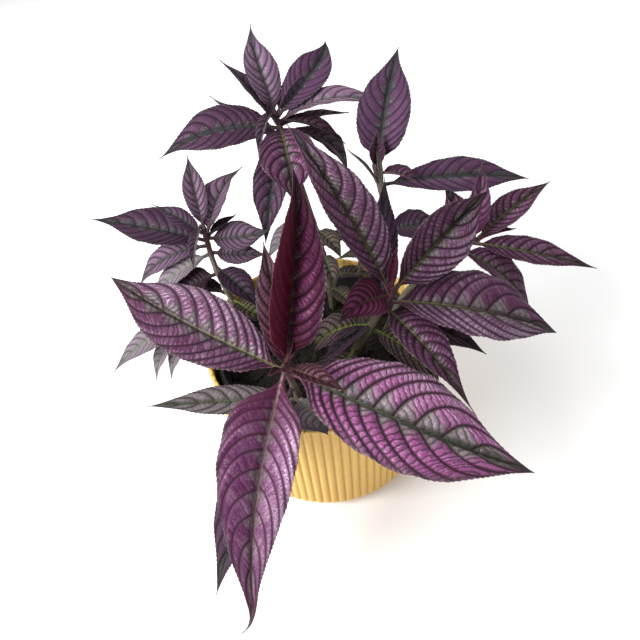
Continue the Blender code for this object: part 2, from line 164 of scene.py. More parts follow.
# Young leaves and buds that only the dressed plant has, each after the stem that it grows on
YOUNG_ROWS = (
    ("front", 0, 60, 58, 16, 6, 20, 0, 40, 0, "maroon"),
    ("front", 0, -120, 50, 14, 5, 20, 0, 40, 0, "maroon"),
    ("right", 0, 70, 62, 20, 7, 20, 0, 40, 0, "maroon"),
    ("right", 0, -110, 52, 16, 6, 30, 0, 40, 0, "maroon"),
    ("back", 0, -114, 12, 36, 10, 84, 0, 45, 0, "grey_purple"),
    ("back", 0, 24, 50, 31, 11, 20, 0, 45, 0, "grey_purple"),
    ("rear_right", 6, -24, 12, 28, 14, 50, 0, 30, 0, "maroon"),
    ("rear_right", 2, 80, 74, 21, 13, 10, 0, 40, 0, "maroon"),
    ("left", 0, -108, -6, 28, 9, 60, 0, 40, 0, "grey_purple"),
    ("far_right", 0, -10, 30, 22, 8, 20, 0, 30, 0, "maroon"),
    ("right", 29, -150, 10, 34, 12, 60, 0, 25, 0, "grey_purple"),
    ("left", 6, 30, 20, 22, 9, 10, 0, 20, 0, "dark"),
    ("back", 6, -26, 8, 46, 15, 46, 0, 30, 0, "dark"),
    ("back", 112, -4, 16, 28, 13, 40, 0, 15, 0, "olive"),
    ("back", 80, -60, 14, 28, 14, 60, 0, 20, 0, "olive"),
    ("back", 120, -58, 20, 26, 14, 60, 0, 20, 0, "olive"),
    ("back", 96, -80, 10, 30, 14, 50, 0, 20, 0, "olive"),
    ("rear_right", 10, 150, 58, 26, 3, 30, 0, 30, 0, "olive"),
    ("rear_right", 16, 95, 66, 28, 3, 20, 0, 30, 0, "olive"),
    ("back", 90, 20, 10, 30, 14, 40, 0, 20, 0, "dark"),
    ("rear_right", 44, -130, 10, 34, 14, 50, 0, 20, 0, "olive"),
    ("rear_right", 60, 170, 24, 30, 12, 50, 0, 20, 0, "olive"),
    ("front", 36, -62, 10, 26, 28, 24, 0, 10, 0, "olive"),
    ("front", 60, 160, 24, 30, 14, 50, 0, 20, 0, "olive"),
    ("left", 58, -20, 20, 30, 13, 50, 0, 20, 0, "olive"),
    ("left", 44, 150, 10, 34, 14, 40, 0, 20, 0, "dark"),
    ("right", 66, 60, 30, 30, 13, 50, 0, 20, 0, "olive"),
    ("back", 74, -150, 8, 38, 18, 55, 0, 20, 0, "lilac"),
)
YOUNG_LEAVES = tuple(
    Leaf(f"young_leaf_{number}", stem + "_stem", *row) for number, (stem, *row) in enumerate(YOUNG_ROWS, 1)
)

# ---- Leaf mesh, in millimetres ----
FINE_STEPS = 40
PETIOLE_HALF_WIDTH = 1.1
BASE_CLEARANCE = 0.8
BASE_OVERLAP = 1.4
ENDWISE = 0.2
STEM_RINGS_PER_SPAN = 3
ROOT_DEPTH = 18.0
TOOTH_LENGTH = 2.6
SMALL_TOOTH = 0.8
LONG_LEAF = 60
LEAST_TEETH = 10
ROWS_PER_TOOTH = 4
COLUMN_WIDTH = 0.8
LEAST_HALF_COLUMNS = 8
COLUMN_BUNCHING = 1.2
TIP_HALF_WIDTH = 0.22
WIDEST_PILLOW = 9.0
PILLOW_ROUND = 2.3
RUNG_ROUND = 2.5
GROOVE_DEPTH = 0.45
GROOVE_WIDTH = 1.9
RIB_RISE = 0.55
DOME = 0.30
EDGE_WAVE = 0.03
SKIN = 0.2
MIDDLE_THICKNESS = 0.5
PETIOLE_THICKNESS = 1.5
KEEL_DEPTH = 0.7
KEEL_WIDTH = 1.1
RIM_ANGLE = 50
MAP_SHARE = 0.245
MAP_UPPER = 0.003
MAP_UNDER = 0.507

# Veins: where they leave the midrib, the distance between rungs, and the uneven bands
VEIN_START = 0.36
OWN_VEIN_START = {"front_leaf_3": 0.15}
RUNG_GAP = 2.6
OWN_RUNG_GAP = {"front_leaf_2": 3.5, "front_leaf_1": 3.2, "front_leaf_3": 2.5, "right_leaf_3": 3.0}
BAND_SHIFT = 0.37

# One half darkened wine-red as painted shade, and the half (-1 or 1) with a painted silvery sheen towards
# its margin
PAINTED_SHADE_LEAVES = ("front_leaf_4",)
PAINTED_SHEEN_SIDE = {
    "front_leaf_1": -1, "front_leaf_2": 1, "front_leaf_3": 1,
    "right_leaf_1": -1, "right_leaf_2": -1, "right_leaf_3": -1,
}


def smooth_step(share):
    share = np.clip(share, 0.0, 1.0)
    return share * share * (3 - 2 * share)


def hash_unit(text):
    """A number from 0 to 1 that depends only on a name."""
    total = 0
    for letter in text:
        total = (total * HASH_STEP + ord(letter)) % HASH_RANGE
    return total / HASH_RANGE


# ---- Shader wiring ----
class Wire:
    """A node socket; arithmetic on it adds Math nodes to its finish."""

    def __init__(self, finish, socket):
        self.finish = finish
        self.socket = socket

    def math(self, operation, *values):
        inputs = {index: value for index, value in enumerate(values)}
        return self.finish.node("Math", {"operation": operation}, inputs)

    def __add__(self, other):
        return self.math("ADD", self, other)

    def __radd__(self, other):
        return self.math("ADD", other, self)

    def __sub__(self, other):
        return self.math("SUBTRACT", self, other)

    def __rsub__(self, other):
        return self.math("SUBTRACT", other, self)

    def __mul__(self, other):
        return self.math("MULTIPLY", self, other)

    def __rmul__(self, other):
        return self.math("MULTIPLY", other, self)

    def __truediv__(self, other):
        return self.math("DIVIDE", self, other)

    def __abs__(self):
        return self.math("ABSOLUTE", self)

    def fraction(self):
        return self.math("FRACT", self)

    def floor(self):
        return self.math("FLOOR", self)

    def larger(self, other):
        return self.math("MAXIMUM", self, other)

    def rise(self, low, high):
        """0 below low, 1 above high and a smooth step between them."""
        settings = {"interpolation_type": "SMOOTHSTEP"}
        inputs = {"Value": self, "From Min": low, "From Max": high}
        return self.finish.node("MapRange", settings, inputs)


class Finish:
    """A procedural material under construction."""

    def __init__(self, name, roughness=0.5, specular=0.5, gloss=(1.0, 1.0, 1.0)):
        self.material = bpy.data.materials.new(name)
        self.material.use_nodes = True
        self.tree = self.material.node_tree
        self.shader = self.tree.nodes["Principled BSDF"]
        self.shader.inputs["Roughness"].default_value = roughness
        self.shader.inputs["Specular IOR Level"].default_value = specular
        self.shader.inputs["Specular Tint"].default_value = (*gloss, 1.0)

    def node(self, kind, settings=None, inputs=None, output=0):
        made = self.tree.nodes.new("ShaderNode" + kind)
        for key, value in (settings or {}).items():
            setattr(made, key, value)
        for key, value in (inputs or {}).items():
            self.plug(made.inputs[key], value)
        return Wire(self, made.outputs[output])

    def plug(self, socket, value):
        if isinstance(value, Wire):
            self.tree.links.new(value.socket, socket)
        elif hasattr(value, "__len__") and len(value) == 3 and len(socket.default_value) == 4:
            socket.default_value = (*value, 1.0)
        else:
            socket.default_value = value

    def blend(self, share, first, second, mode="MIX"):
        """A colour that goes from first to second as share goes from 0 to 1."""
        settings = {"data_type": "RGBA", "blend_type": mode, "clamp_factor": True}
        return self.node("Mix", settings, {0: share, 6: first, 7: second}, output=2)

    def parts(self, attribute):
        """The three numbers that a mesh's vector attribute holds."""
        made = self.node("Attribute", {"attribute_name": attribute}, output="Vector")
        split = self.node("SeparateXYZ", None, {"Vector": made})
        return [Wire(self, split.socket.node.outputs[axis]) for axis in ("X", "Y", "Z")]

    def place(self):
        return self.node("TexCoord", output="Object")

    def noise(self, scale, detail=2.0, vector=None):
        inputs = {"Vector": vector or self.place(), "Scale": scale, "Detail": detail}
        return self.node("TexNoise", None, inputs)

    def bump(self, height, strength, distance):
        inputs = {"Height": height, "Strength": strength, "Distance": distance}
        self.set("Normal", self.node("Bump", None, inputs))

    def set(self, name, value):
        self.plug(self.shader.inputs[name], value)


# ---- Mesh helpers ----
def add_piece(name, vertices, faces, material, replaced=None):
    """Make a piece from points in millimetres; it rides with the plant and may stand for a solid."""
    mesh = bpy.data.meshes.new(name)
    mesh.from_pydata((np.asarray(vertices) * MM).tolist(), [], faces)
    mesh.materials.append(material)
    mesh.shade_smooth()
    piece = bpy.data.objects.new(name, mesh)
    bpy.context.scene.collection.objects.link(piece)
    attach(piece, BODY)
    if replaced:
        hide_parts(replaced)
    return piece


def store_parts(mesh, name, first, second, third):
    """Keep three numbers for each point as one vector attribute."""
    layer = mesh.attributes.new(name, "FLOAT_VECTOR", "POINT")
    values = np.stack((first, second, third), axis=-1).astype(np.float32)
    layer.data.foreach_set("vector", values.ravel())


def store_map(mesh, across, along):
    """Lay the surface out flat for baking."""
    layer = mesh.uv_layers.new(name="OFBake")
    corners = np.empty(len(mesh.loops), dtype=np.int32)
    mesh.loops.foreach_get("vertex_index", corners)
    layer.data.foreach_set("uv", np.stack((across, along), axis=-1)[corners].ravel())


def ring_quads(rings, sides):
    """Faces between closed rings that follow each other, each with the same number of points."""
    low = np.arange(sides) + sides * np.arange(rings - 1)[:, None]
    turned_on = np.roll(low, -1, axis=1)
    return np.stack((low, turned_on, turned_on + sides, low + sides), axis=-1).reshape(-1, 4).tolist()


def scaled(colour, share):
    return tuple(share * value for value in colour)


# ---- Growth ----
def smooth_path(points, steps):
    """Sample a Catmull-Rom curve through the points."""
    knots = [Vector(point) for point in points]
    knots = [2 * knots[0] - knots[1]] + knots + [2 * knots[-1] - knots[-2]]
    path = []
    for before, start, end, after in zip(knots, knots[1:], knots[2:], knots[3:]):
        for step in range(steps):
            t = step / steps
            linear = (end - before) * t
            square = (2 * before - 5 * start + 4 * end - after) * t ** 2
            cube = (3 * start - before - 3 * end + after) * t ** 3
            path.append(0.5 * (2 * start + linear + square + cube))
    path.append(knots[-2])
    return path


def stem_path(stem, steps=STEM_RINGS_PER_SPAN):
    """The rooted straight length, then the curve through the stem's points."""
    root = Vector(stem.points[0]) - Vector((0, 0, ROOT_DEPTH))
    return [root] + smooth_path(stem.points, steps)


def stem_radius(stem, share):
    return stem.base_radius + (stem.tip_radius - stem.base_radius) * share


def point_below_tip(stem, distance):
    """The point, direction and radius of a stem at a distance below its tip."""
    path = stem_path(stem)
    left = distance
    for index in range(len(path) - 1, 0, -1):
        span = path[index] - path[index - 1]
        if left <= span.length or index == 1:
            share = (index - left / span.length) / (len(path) - 1)
            place = path[index] - span.normalized() * left
            return place, span.normalized(), stem_radius(stem, share)
        left -= span.length


def leaf_axes(leaf, t):
    """Forward, sideways and upward directions of the blade, a row for each t."""
    hooked = leaf.hook * smooth_step((t - HOOK_START) / (1 - HOOK_START))
    heading = np.radians(leaf.heading + leaf.sweep * t ** 2 + hooked)
    pitch = np.radians(leaf.rise - leaf.droop * t)
    level = np.stack((np.cos(heading), np.sin(heading), 0 * t), axis=-1)
    forward = level * np.cos(pitch)[:, None]
    forward[:, 2] = np.sin(pitch)
    flat_side = np.stack((-np.sin(heading), np.cos(heading), 0 * t), axis=-1)
    roll = math.radians(leaf.roll)
    side = flat_side * math.cos(roll) + np.cross(forward, flat_side) * math.sin(roll)
    return forward, side, np.cross(forward, side)


def leaf_base(leaf):
    """Where the midrib starts, just clear of the stem's skin."""
    stem = STEMS[leaf.stem]
    place, along, radius = point_below_tip(stem, leaf.below)
    forward = Vector(leaf_axes(leaf, np.zeros(1))[0][0])
    outward = forward - along * forward.dot(along)
    if outward.length < ENDWISE:
        outward = forward
    return np.array(place + outward.normalized() * (radius + BASE_CLEARANCE))


def midrib(leaf, t):
    """Points of the midrib: a smooth curve through the same knots as the solid's."""
    knot_t = np.arange(FINE_STEPS + 1) / FINE_STEPS
    forward = leaf_axes(leaf, knot_t)[0]
    step = leaf.length / FINE_STEPS
    knots = leaf_base(leaf) + np.vstack((np.zeros(3), np.cumsum(forward[:-1] * step, axis=0)))
    index = np.minimum((t * FINE_STEPS).astype(int), FINE_STEPS - 1)
    u = (t * FINE_STEPS - index)[:, None]
    start, end = knots[index], knots[index + 1]
    pull_start, pull_end = forward[index] * step, forward[index + 1] * step
    return (
        start * (2 * u ** 3 - 3 * u ** 2 + 1)
        + pull_start * (u ** 3 - 2 * u ** 2 + u)
        + end * (3 * u ** 2 - 2 * u ** 3)
        + pull_end * (u ** 3 - u ** 2)
    )


def half_width(leaf, t):
    """Half of the blade's width along the leaf, from the base to the drawn-out tip."""
    crossing = np.sin(np.pi * t ** leaf.outline)
    widest_at = 0.5 ** (1 / leaf.outline)
    blade = np.maximum(crossing, 0.0) ** np.where(t < widest_at, 0.9, leaf.tip)
    narrowing = smooth_step(t / 0.15) * (1 - 0.25 * smooth_step((t - 0.6) / 0.4))
    return np.maximum(PETIOLE_HALF_WIDTH * (1 - t), 0.5 * leaf.width * blade * narrowing)


def ripple(x, y):
    """An uneven wave between -1 and 1 that never quite repeats over x and y."""
    return (np.sin(x + 1.7 * np.sin(1.3 * y)) + np.sin(1.9 * y + 2.1 * x) + np.sin(2.7 * x - 0.8 * y)) / 3


def vein_net(leaf, seed, t, s, half):
    """Numbers that pass a whole number at each vein and rung, and the veins' spacing in mm.

    A lateral vein leaves the midrib steeply, then sweeps towards the tip beside the margin; the
    veins stand wider apart towards the tip. Rungs are counted along the veins from the midrib, and
    the lean keeps each rung square to the two veins that it joins, and slants it beside the midrib.
    """
    a = np.abs(s)
    sweep = (0.13 + 0.29 * leaf.width / leaf.length) * (np.tanh(t / 0.42) + 0.3 * np.maximum(t - 0.5, 0))
    start = OWN_VEIN_START.get(leaf.name, VEIN_START)
    origin = t - sweep * (start * a + (1 - start) * a ** 2.3)
    count = 4.6 + leaf.length / 62
    sway = 0.07 * ripple(2.5 * a + 10 * seed, 9.0 * origin + 5 * (s > 0))
    vein = count * np.log1p(7.2 * np.maximum(origin, 0)) + sway + 0.18 * (s > 0) + seed
    by_t, by_s = np.gradient(vein, t[:, 0], s[0])
    half_by_t = np.gradient(half[:, 0], t[:, 0])[:, None]
    across_rate = by_s / half
    along_rate = (by_t - across_rate * s * half_by_t) / leaf.length
    spacing = np.clip(1 / np.hypot(across_rate, along_rate), 0.4, 16.0)
    rung_gap = OWN_RUNG_GAP.get(leaf.name, RUNG_GAP)
    steep = np.abs(across_rate) / np.maximum(along_rate, 0.02)
    middle = t.shape[1] // 2
    rise = np.sqrt(1 + np.minimum(steep, 3.0) ** 2) * np.abs(np.gradient(half * s, axis=1))
    outward = np.cumsum(rise[:, middle:], axis=1) - 0.5 * rise[:, middle:middle + 1]
    inward = np.cumsum(rise[:, middle::-1], axis=1)[:, ::-1] - 0.5 * rise[:, middle:middle + 1]
    ladder = np.hstack((inward[:, :-1], outward)) / rung_gap
    lean = np.minimum(steep * spacing, WIDEST_PILLOW) / rung_gap + 1.3 * (1 - a) ** 3
    ladder = ladder + 0.25 * ripple(0.9 * ladder, 2.2 * vein) + 0.3 * ripple(0.8 * vein, 0.4 * ladder)
    return vein, ladder, lean, spacing


def blade_relief(leaf, quilting, t, a, y, net):
    """Height of the surface over the flat blade: pillows, a groove beside the midrib, and its ridge."""
    vein, ladder, lean, spacing = net
    within = vein % 1.0
    pillow = 1 - np.abs(2 * within - 1) ** PILLOW_ROUND
    cell = ladder + lean * within + BAND_SHIFT * np.floor(vein)
    rung = 1 - np.abs(2 * (cell % 1.0) - 1) ** RUNG_ROUND
    ends = smooth_step((t - 0.05) / 0.1) * (1 - smooth_step((t - 0.84) / 0.14))
    inside = smooth_step(a / 0.16) * (1 - 0.6 * smooth_step((a - 0.78) / 0.22))
    relief = quilting * np.minimum(spacing, WIDEST_PILLOW) * pillow * (0.60 + 0.40 * rung) * ends * inside
    rib_width = 0.35 + 0.55 * (1 - t)
    relief -= GROOVE_DEPTH * np.exp(-((y / GROOVE_WIDTH) ** 2)) * ends
    relief += RIB_RISE * np.exp(-((y / rib_width) ** 2)) * (1 - 0.7 * t)
    return relief, ends


def blade_faces(rows, columns):
    """Quads of the upper side, the underside and the rim between them."""
    count = rows * columns
    grid = np.arange(count).reshape(rows, columns)
    quads = np.stack((grid[:-1, :-1], grid[1:, :-1], grid[1:, 1:], grid[:-1, 1:]), axis=-1).reshape(-1, 4)
    rim = np.concatenate((grid[0, :], grid[1:, -1], grid[-1, -2::-1], grid[-2:0:-1, 0]))
    following = np.roll(rim, -1)
    walls = np.stack((rim, following, following + count, rim + count), axis=-1)
    return quads[:, ::-1].tolist() + (quads + count).tolist() + walls.tolist()


def both(values):
    """The same values for the upper side and the underside."""
    return np.concatenate((values.ravel(), values.ravel()))


def build_leaf(leaf, plant, material, replaced):
    """A thin closed blade with sunken veins, pillowed cells, a raised midrib and a toothed margin."""
    seed = hash_unit(leaf.name)
    tooth = TOOTH_LENGTH if leaf.length > LONG_LEAF else SMALL_TOOTH * TOOTH_LENGTH
    teeth = max(LEAST_TEETH, round(leaf.length / tooth))
    rows = ROWS_PER_TOOTH * teeth + 1
    columns = 2 * max(LEAST_HALF_COLUMNS, round(leaf.width / COLUMN_WIDTH / 2)) + 1
    t_line = np.linspace(0.0, 1.0, rows)
    spread = np.linspace(-1.0, 1.0, columns)
    spread = np.sign(spread) * np.abs(spread) ** COLUMN_BUNCHING
    t, s = np.meshgrid(t_line, spread, indexing="ij")
    a = np.abs(s)
    half_line = np.maximum(half_width(leaf, t_line), TIP_HALF_WIDTH)
    half = half_line[:, None] * np.ones_like(t)
    y = half * a
    net = vein_net(leaf, seed, t, s, half)
    vein, ladder, lean, spacing = net
    relief, ends = blade_relief(leaf, plant.quilting * LOOKS[look_name(leaf)].relief, t, a, y, net)

    # Toothed margin, slight domes on both halves and a wavy edge
    bite = plant.tooth_depth * (1 - (t * teeth % 1.0) ** 0.8) * smooth_step((half - 2.0) / 3.0)
    reach = y - bite * a ** 5
    fold = math.radians(leaf.fold)
    dome = DOME * half * a * (1 - a)
    wave = EDGE_WAVE * half * a ** 3 * np.sin(2 * np.pi * (vein / 2.0)) * ends
    lift = y * math.sin(fold) + dome + wave

    # The upper side, then the underside, which is thicker along the midrib and at the petiole
    forward, side, up = leaf_axes(leaf, t_line)
    side, up, middle = side[:, None, :], up[:, None, :], midrib(leaf, t_line)[:, None, :]
    sign = np.sign(s)[..., None]
    normal = up * math.cos(fold) - side * sign * math.sin(fold)
    top = middle + side * (np.sign(s) * reach * math.cos(fold))[..., None] + up * lift[..., None]
    top = top + normal * (relief + SKIN)[..., None]
    petiole = 1 - smooth_step(t / 0.14)
    thickness = MIDDLE_THICKNESS - 0.2 * a + PETIOLE_THICKNESS * petiole * (1 - 0.45 * a)
    keel = KEEL_DEPTH * np.exp(-((y / KEEL_WIDTH) ** 2)) * (1 - 0.8 * t) * (1 - petiole)
    thickness = thickness + keel
    under = top - normal * thickness[..., None]
    top[0] -= forward[0] * BASE_OVERLAP
    under[0] -= forward[0] * BASE_OVERLAP

    vertices = np.concatenate((top.reshape(-1, 3), under.reshape(-1, 3)))
    piece = add_piece(leaf.name + "_blade", vertices, blade_faces(rows, columns), material, replaced)
    mesh = piece.data
    bm = bmesh.new()
    bm.from_mesh(mesh)
    bmesh.ops.recalc_face_normals(bm, faces=bm.faces)
    bm.to_mesh(mesh)
    bm.free()
    mesh.set_sharp_from_angle(angle=math.radians(RIM_ANGLE))

    count = rows * columns
    store_parts(mesh, "blade", both(t), both(a), both(y))
    store_parts(mesh, "net", both(vein), both(ladder), both(lean))
    # Masks for the half of a leaf with painted shade and for the half with a painted silvery sheen
    painted_shade_half = (s > 0) * (leaf.name in PAINTED_SHADE_LEAVES)
    painted_light_share = smooth_step(s * PAINTED_SHEEN_SIDE.get(leaf.name, 0) / 0.12)
    store_parts(mesh, "edge", both(t * teeth), both(painted_shade_half), both(painted_light_share))
    is_under = np.concatenate((np.zeros(count), np.ones(count)))
    store_parts(mesh, "kind", is_under, np.full(2 * count, seed), both(spacing))
    across = (s.ravel() + 1) * MAP_SHARE
    store_map(mesh, np.concatenate((across + MAP_UPPER, across + MAP_UNDER)), both(t) * 0.99 + 0.005)


# ---- Leaf finishes: linear colours ----
LOOK_FIELDS = (
    "panel edge shine feather dark vein rib under margin root "
    "metallic rough reach lines rungs band relief specks gloss vein_width flare tip"
)
DRY_TIP = (0.030, 0.027, 0.022)
Look = namedtuple("Look", LOOK_FIELDS, defaults=(0.45, 0.14, DRY_TIP))
# Colours of the painted silvery sheen and of the painted wine-red shade on one half
PAINTED_SHEEN = (0.36, 0.26, 0.35)
PAINTED_SHADE_RED = (0.080, 0.0050, 0.0165)
TOOTH_BEAD = (0.26, 0.20, 0.23)
LEAF_GLOSS = (0.94, 0.68, 0.91)
FINE_SCALE = 1100.0
GRAIN_SCALE = 420.0
CLOUD_SCALE = 75.0
RUNG_HEIGHT = 1.5

# Leaves whose look isn't that of the finish they are packed with
LOOK_WEARERS = {
    "plum": (
        "front_leaf_1 right_leaf_1 right_leaf_2 right_leaf_3 right_leaf_5 back_leaf_6 "
        "far_right_leaf_1 far_right_leaf_2 far_right_leaf_3 young_leaf_7 young_leaf_8"
    ),
    "deep": "front_leaf_3 far_right_leaf_4",
    "wine": "front_leaf_4",
    "grey_purple": "rear_right_leaf_1",
    # Leaves behind and inside the plant wear a darker copy of grey_purple: painted shade
    "dusk": "left_leaf_3 left_leaf_8 back_leaf_4 back_leaf_7 front_leaf_7 rear_right_leaf_3",
    "rose": "front_leaf_5",
    "mauve": (
        "left_leaf_6 left_leaf_1 left_leaf_2 left_leaf_4 left_leaf_5 back_leaf_1 back_leaf_5 "
        "young_leaf_5 young_leaf_9"
    ),
    "russet": "front_leaf_6 young_leaf_1 young_leaf_2",
    "sage": "front_leaf_8 young_leaf_18 young_leaf_19",
    "moss": (
        "young_leaf_14 young_leaf_15 young_leaf_16 young_leaf_17 young_leaf_21 young_leaf_22 "
        "young_leaf_24 young_leaf_25 young_leaf_27"
    ),
    # young_leaf_23 wears the pale lilac look as painted light, which lifts it out of the shade where it sits
    "lilac": "young_leaf_23",
}
OWN_LOOK = {name: look for look, names in LOOK_WEARERS.items() for name in names.split()}

# Each look: ten colours, of which the second is painted shade beside the veins (and dark flecks) and the
# third painted highlights, then metallic shine, roughness, how far the wedges reach, strength of the lines
# and rungs, width of the dark band beside the midrib, relief, painted glint specks and gloss
LOOKS = {
    "purple": Look(
        (0.265, 0.064, 0.198), (0.060, 0.012, 0.036), (0.52, 0.30, 0.48), (0.190, 0.180, 0.178),
        (0.030, 0.037, 0.022), (0.020, 0.016, 0.014), (0.090, 0.105, 0.055), (0.11, 0.040, 0.065),
        (0.070, 0.036, 0.048), (0.045, 0.006, 0.016),
        0.30, 0.40, 0.27, 1.0, 1.0, 3.6, 1.0, 0.55, 0.55, vein_width=0.42, flare=0.12,
    ),
    "plum": Look(
        (0.077, 0.018, 0.056), (0.040, 0.010, 0.028), (0.38, 0.25, 0.34), (0.115, 0.110, 0.102),
        (0.028, 0.022, 0.018), (0.014, 0.007, 0.010), (0.095, 0.095, 0.035), (0.11, 0.040, 0.065),
        (0.060, 0.034, 0.044), (0.036, 0.006, 0.014),
        0.25, 0.38, 0.26, 0.85, 0.85, 2.6, 0.65, 0.2, 0.35, vein_width=0.42,
    ),
    "deep": Look(
        (0.080, 0.013, 0.060), (0.058, 0.011, 0.038), (0.40, 0.24, 0.36), (0.105, 0.088, 0.092),
        (0.036, 0.020, 0.022), (0.018, 0.007, 0.011), (0.130, 0.088, 0.078), (0.11, 0.040, 0.065),
        (0.050, 0.030, 0.038), (0.050, 0.005, 0.022),
        0.3, 0.38, 0.2, 0.68, 0.32, 1.1, 0.5, 0.25, 0.4, vein_width=0.36, flare=0.26,
    ),
    "wine": Look(
        (0.052, 0.007, 0.028), (0.034, 0.005, 0.014), (0.18, 0.08, 0.14), (0.036, 0.024, 0.024),
        (0.020, 0.012, 0.010), (0.012, 0.004, 0.006), (0.040, 0.034, 0.020), (0.07, 0.014, 0.028),
        (0.042, 0.024, 0.030), (0.036, 0.003, 0.009),
        0.5, 0.40, 0.12, 0.75, 0.4, 1.4, 0.3, 0.08, 0.15, flare=0.20,
    ),
    "maroon": Look(
        (0.120, 0.015, 0.060), (0.055, 0.005, 0.022), (0.22, 0.08, 0.16), (0.040, 0.014, 0.020),
        (0.020, 0.007, 0.010), (0.012, 0.003, 0.006), (0.075, 0.040, 0.026), (0.07, 0.010, 0.024),
        (0.050, 0.019, 0.028), (0.090, 0.006, 0.030),
        0.1, 0.40, 0.10, 0.55, 0.4, 1.0, 0.4, 0.15, 0.25, vein_width=0.42,
    ),
    "grey_purple": Look(
        (0.070, 0.027, 0.066), (0.046, 0.022, 0.044), (0.12, 0.08, 0.12), (0.050, 0.052, 0.052),
        (0.026, 0.029, 0.028), (0.022, 0.011, 0.020), (0.038, 0.042, 0.036), (0.075, 0.055, 0.066),
        (0.038, 0.031, 0.036), (0.040, 0.020, 0.034),
        0.15, 0.50, 0.26, 0.6, 0.25, 3.0, 0.28, 0.06, 0.22,
    ),
    # A darker copy of grey_purple: painted shade for leaves in the plant's shade
    "dusk": Look(
        (0.046, 0.018, 0.040), (0.026, 0.012, 0.023), (0.11, 0.07, 0.10), (0.038, 0.040, 0.038),
        (0.019, 0.022, 0.020), (0.014, 0.008, 0.013), (0.030, 0.034, 0.028), (0.075, 0.055, 0.066),
        (0.028, 0.022, 0.026), (0.032, 0.010, 0.020),
        0.15, 0.50, 0.26, 0.6, 0.35, 2.6, 0.35, 0.06, 0.22,
    ),
    "rose": Look(
        (0.135, 0.056, 0.086), (0.070, 0.026, 0.040), (0.28, 0.20, 0.24), (0.095, 0.070, 0.074),
        (0.042, 0.024, 0.028), (0.026, 0.010, 0.015), (0.070, 0.050, 0.040), (0.075, 0.045, 0.056),
        (0.074, 0.050, 0.056), (0.060, 0.006, 0.020),
        0.12, 0.48, 0.20, 0.8, 0.6, 1.6, 0.5, 0.25, 0.25, flare=0.55, tip=(0.075, 0.066, 0.060),
    ),
    "mauve": Look(
        (0.148, 0.086, 0.140), (0.082, 0.050, 0.077), (0.26, 0.19, 0.26), (0.100, 0.097, 0.098),
        (0.052, 0.049, 0.051), (0.030, 0.015, 0.026), (0.058, 0.058, 0.048), (0.075, 0.055, 0.066),
        (0.074, 0.060, 0.071), (0.044, 0.010, 0.022),
        0.12, 0.48, 0.22, 0.6, 0.4, 2.0, 0.4, 0.15, 0.25, flare=0.22, tip=(0.060, 0.054, 0.054),
    ),
    "russet": Look(
        (0.085, 0.026, 0.038), (0.040, 0.012, 0.016), (0.26, 0.18, 0.18), (0.070, 0.034, 0.036),
        (0.034, 0.012, 0.014), (0.018, 0.008, 0.009), (0.085, 0.045, 0.030), (0.07, 0.014, 0.028),
        (0.050, 0.022, 0.026), (0.050, 0.010, 0.018),
        0.1, 0.45, 0.12, 0.8, 0.7, 0.8, 0.5, 0.35, 0.2, vein_width=0.42, tip=(0.050, 0.026, 0.026),
    ),
    "sage": Look(
        (0.115, 0.098, 0.102), (0.066, 0.058, 0.056), (0.21, 0.20, 0.20), (0.088, 0.092, 0.077),
        (0.038, 0.043, 0.029), (0.029, 0.028, 0.024), (0.075, 0.092, 0.045), (0.063, 0.056, 0.050),
        (0.060, 0.056, 0.052), (0.050, 0.050, 0.036),
        0.05, 0.52, 0.34, 0.7, 0.5, 1.6, 0.5, 0.2, 0.25, vein_width=0.50, tip=(0.10, 0.10, 0.085),
    ),
    "moss": Look(
        (0.088, 0.066, 0.054), (0.046, 0.036, 0.026), (0.17, 0.14, 0.12), (0.070, 0.070, 0.046),
        (0.030, 0.032, 0.017), (0.020, 0.017, 0.012), (0.085, 0.096, 0.034), (0.055, 0.048, 0.036),
        (0.048, 0.040, 0.030), (0.070, 0.070, 0.030),
        0.05, 0.52, 0.30, 0.8, 0.6, 1.6, 0.6, 0.15, 0.25, vein_width=0.48, tip=(0.10, 0.12, 0.04),
    ),
    "lilac": Look(
        (0.17, 0.135, 0.165), (0.12, 0.10, 0.115), (0.22, 0.19, 0.22), (0.14, 0.145, 0.14),
        (0.105, 0.105, 0.098), (0.084, 0.070, 0.077), (0.17, 0.175, 0.126), (0.154, 0.126, 0.14),
        (0.133, 0.126, 0.126), (0.14, 0.12, 0.12),
        0.05, 0.58, 0.34, 0.6, 0.3, 1.4, 0.4, 0.2, 0.25, tip=(0.10, 0.10, 0.085),
    ),
    "olive": Look(
        (0.095, 0.056, 0.060), (0.060, 0.040, 0.036), (0.22, 0.17, 0.18), (0.10, 0.13, 0.035),
        (0.050, 0.060, 0.015), (0.010, 0.008, 0.006), (0.165, 0.210, 0.034), (0.056, 0.050, 0.035),
        (0.035, 0.032, 0.021), (0.075, 0.085, 0.025),
        0.05, 0.52, 0.32, 0.9, 0.9, 2.2, 0.9, 0.1, 0.3, vein_width=0.50, tip=(0.22, 0.32, 0.05),
    ),
    # A darker copy of the purple looks for leaves deep inside the plant: painted shade
    "dark": Look(
        (0.038, 0.014, 0.027), (0.018, 0.007, 0.013), (0.08, 0.042, 0.063), (0.018, 0.017, 0.017),
        (0.011, 0.010, 0.010), (0.007, 0.004, 0.006), (0.028, 0.028, 0.018), (0.017, 0.008, 0.013),
        (0.021, 0.015, 0.018), (0.018, 0.008, 0.012),
        0.15, 0.50, 0.25, 0.7, 0.5, 1.4, 0.5, 0.0, 0.2,
    ),
}


def look_name(leaf):
    return OWN_LOOK.get(leaf.name, leaf.finish)


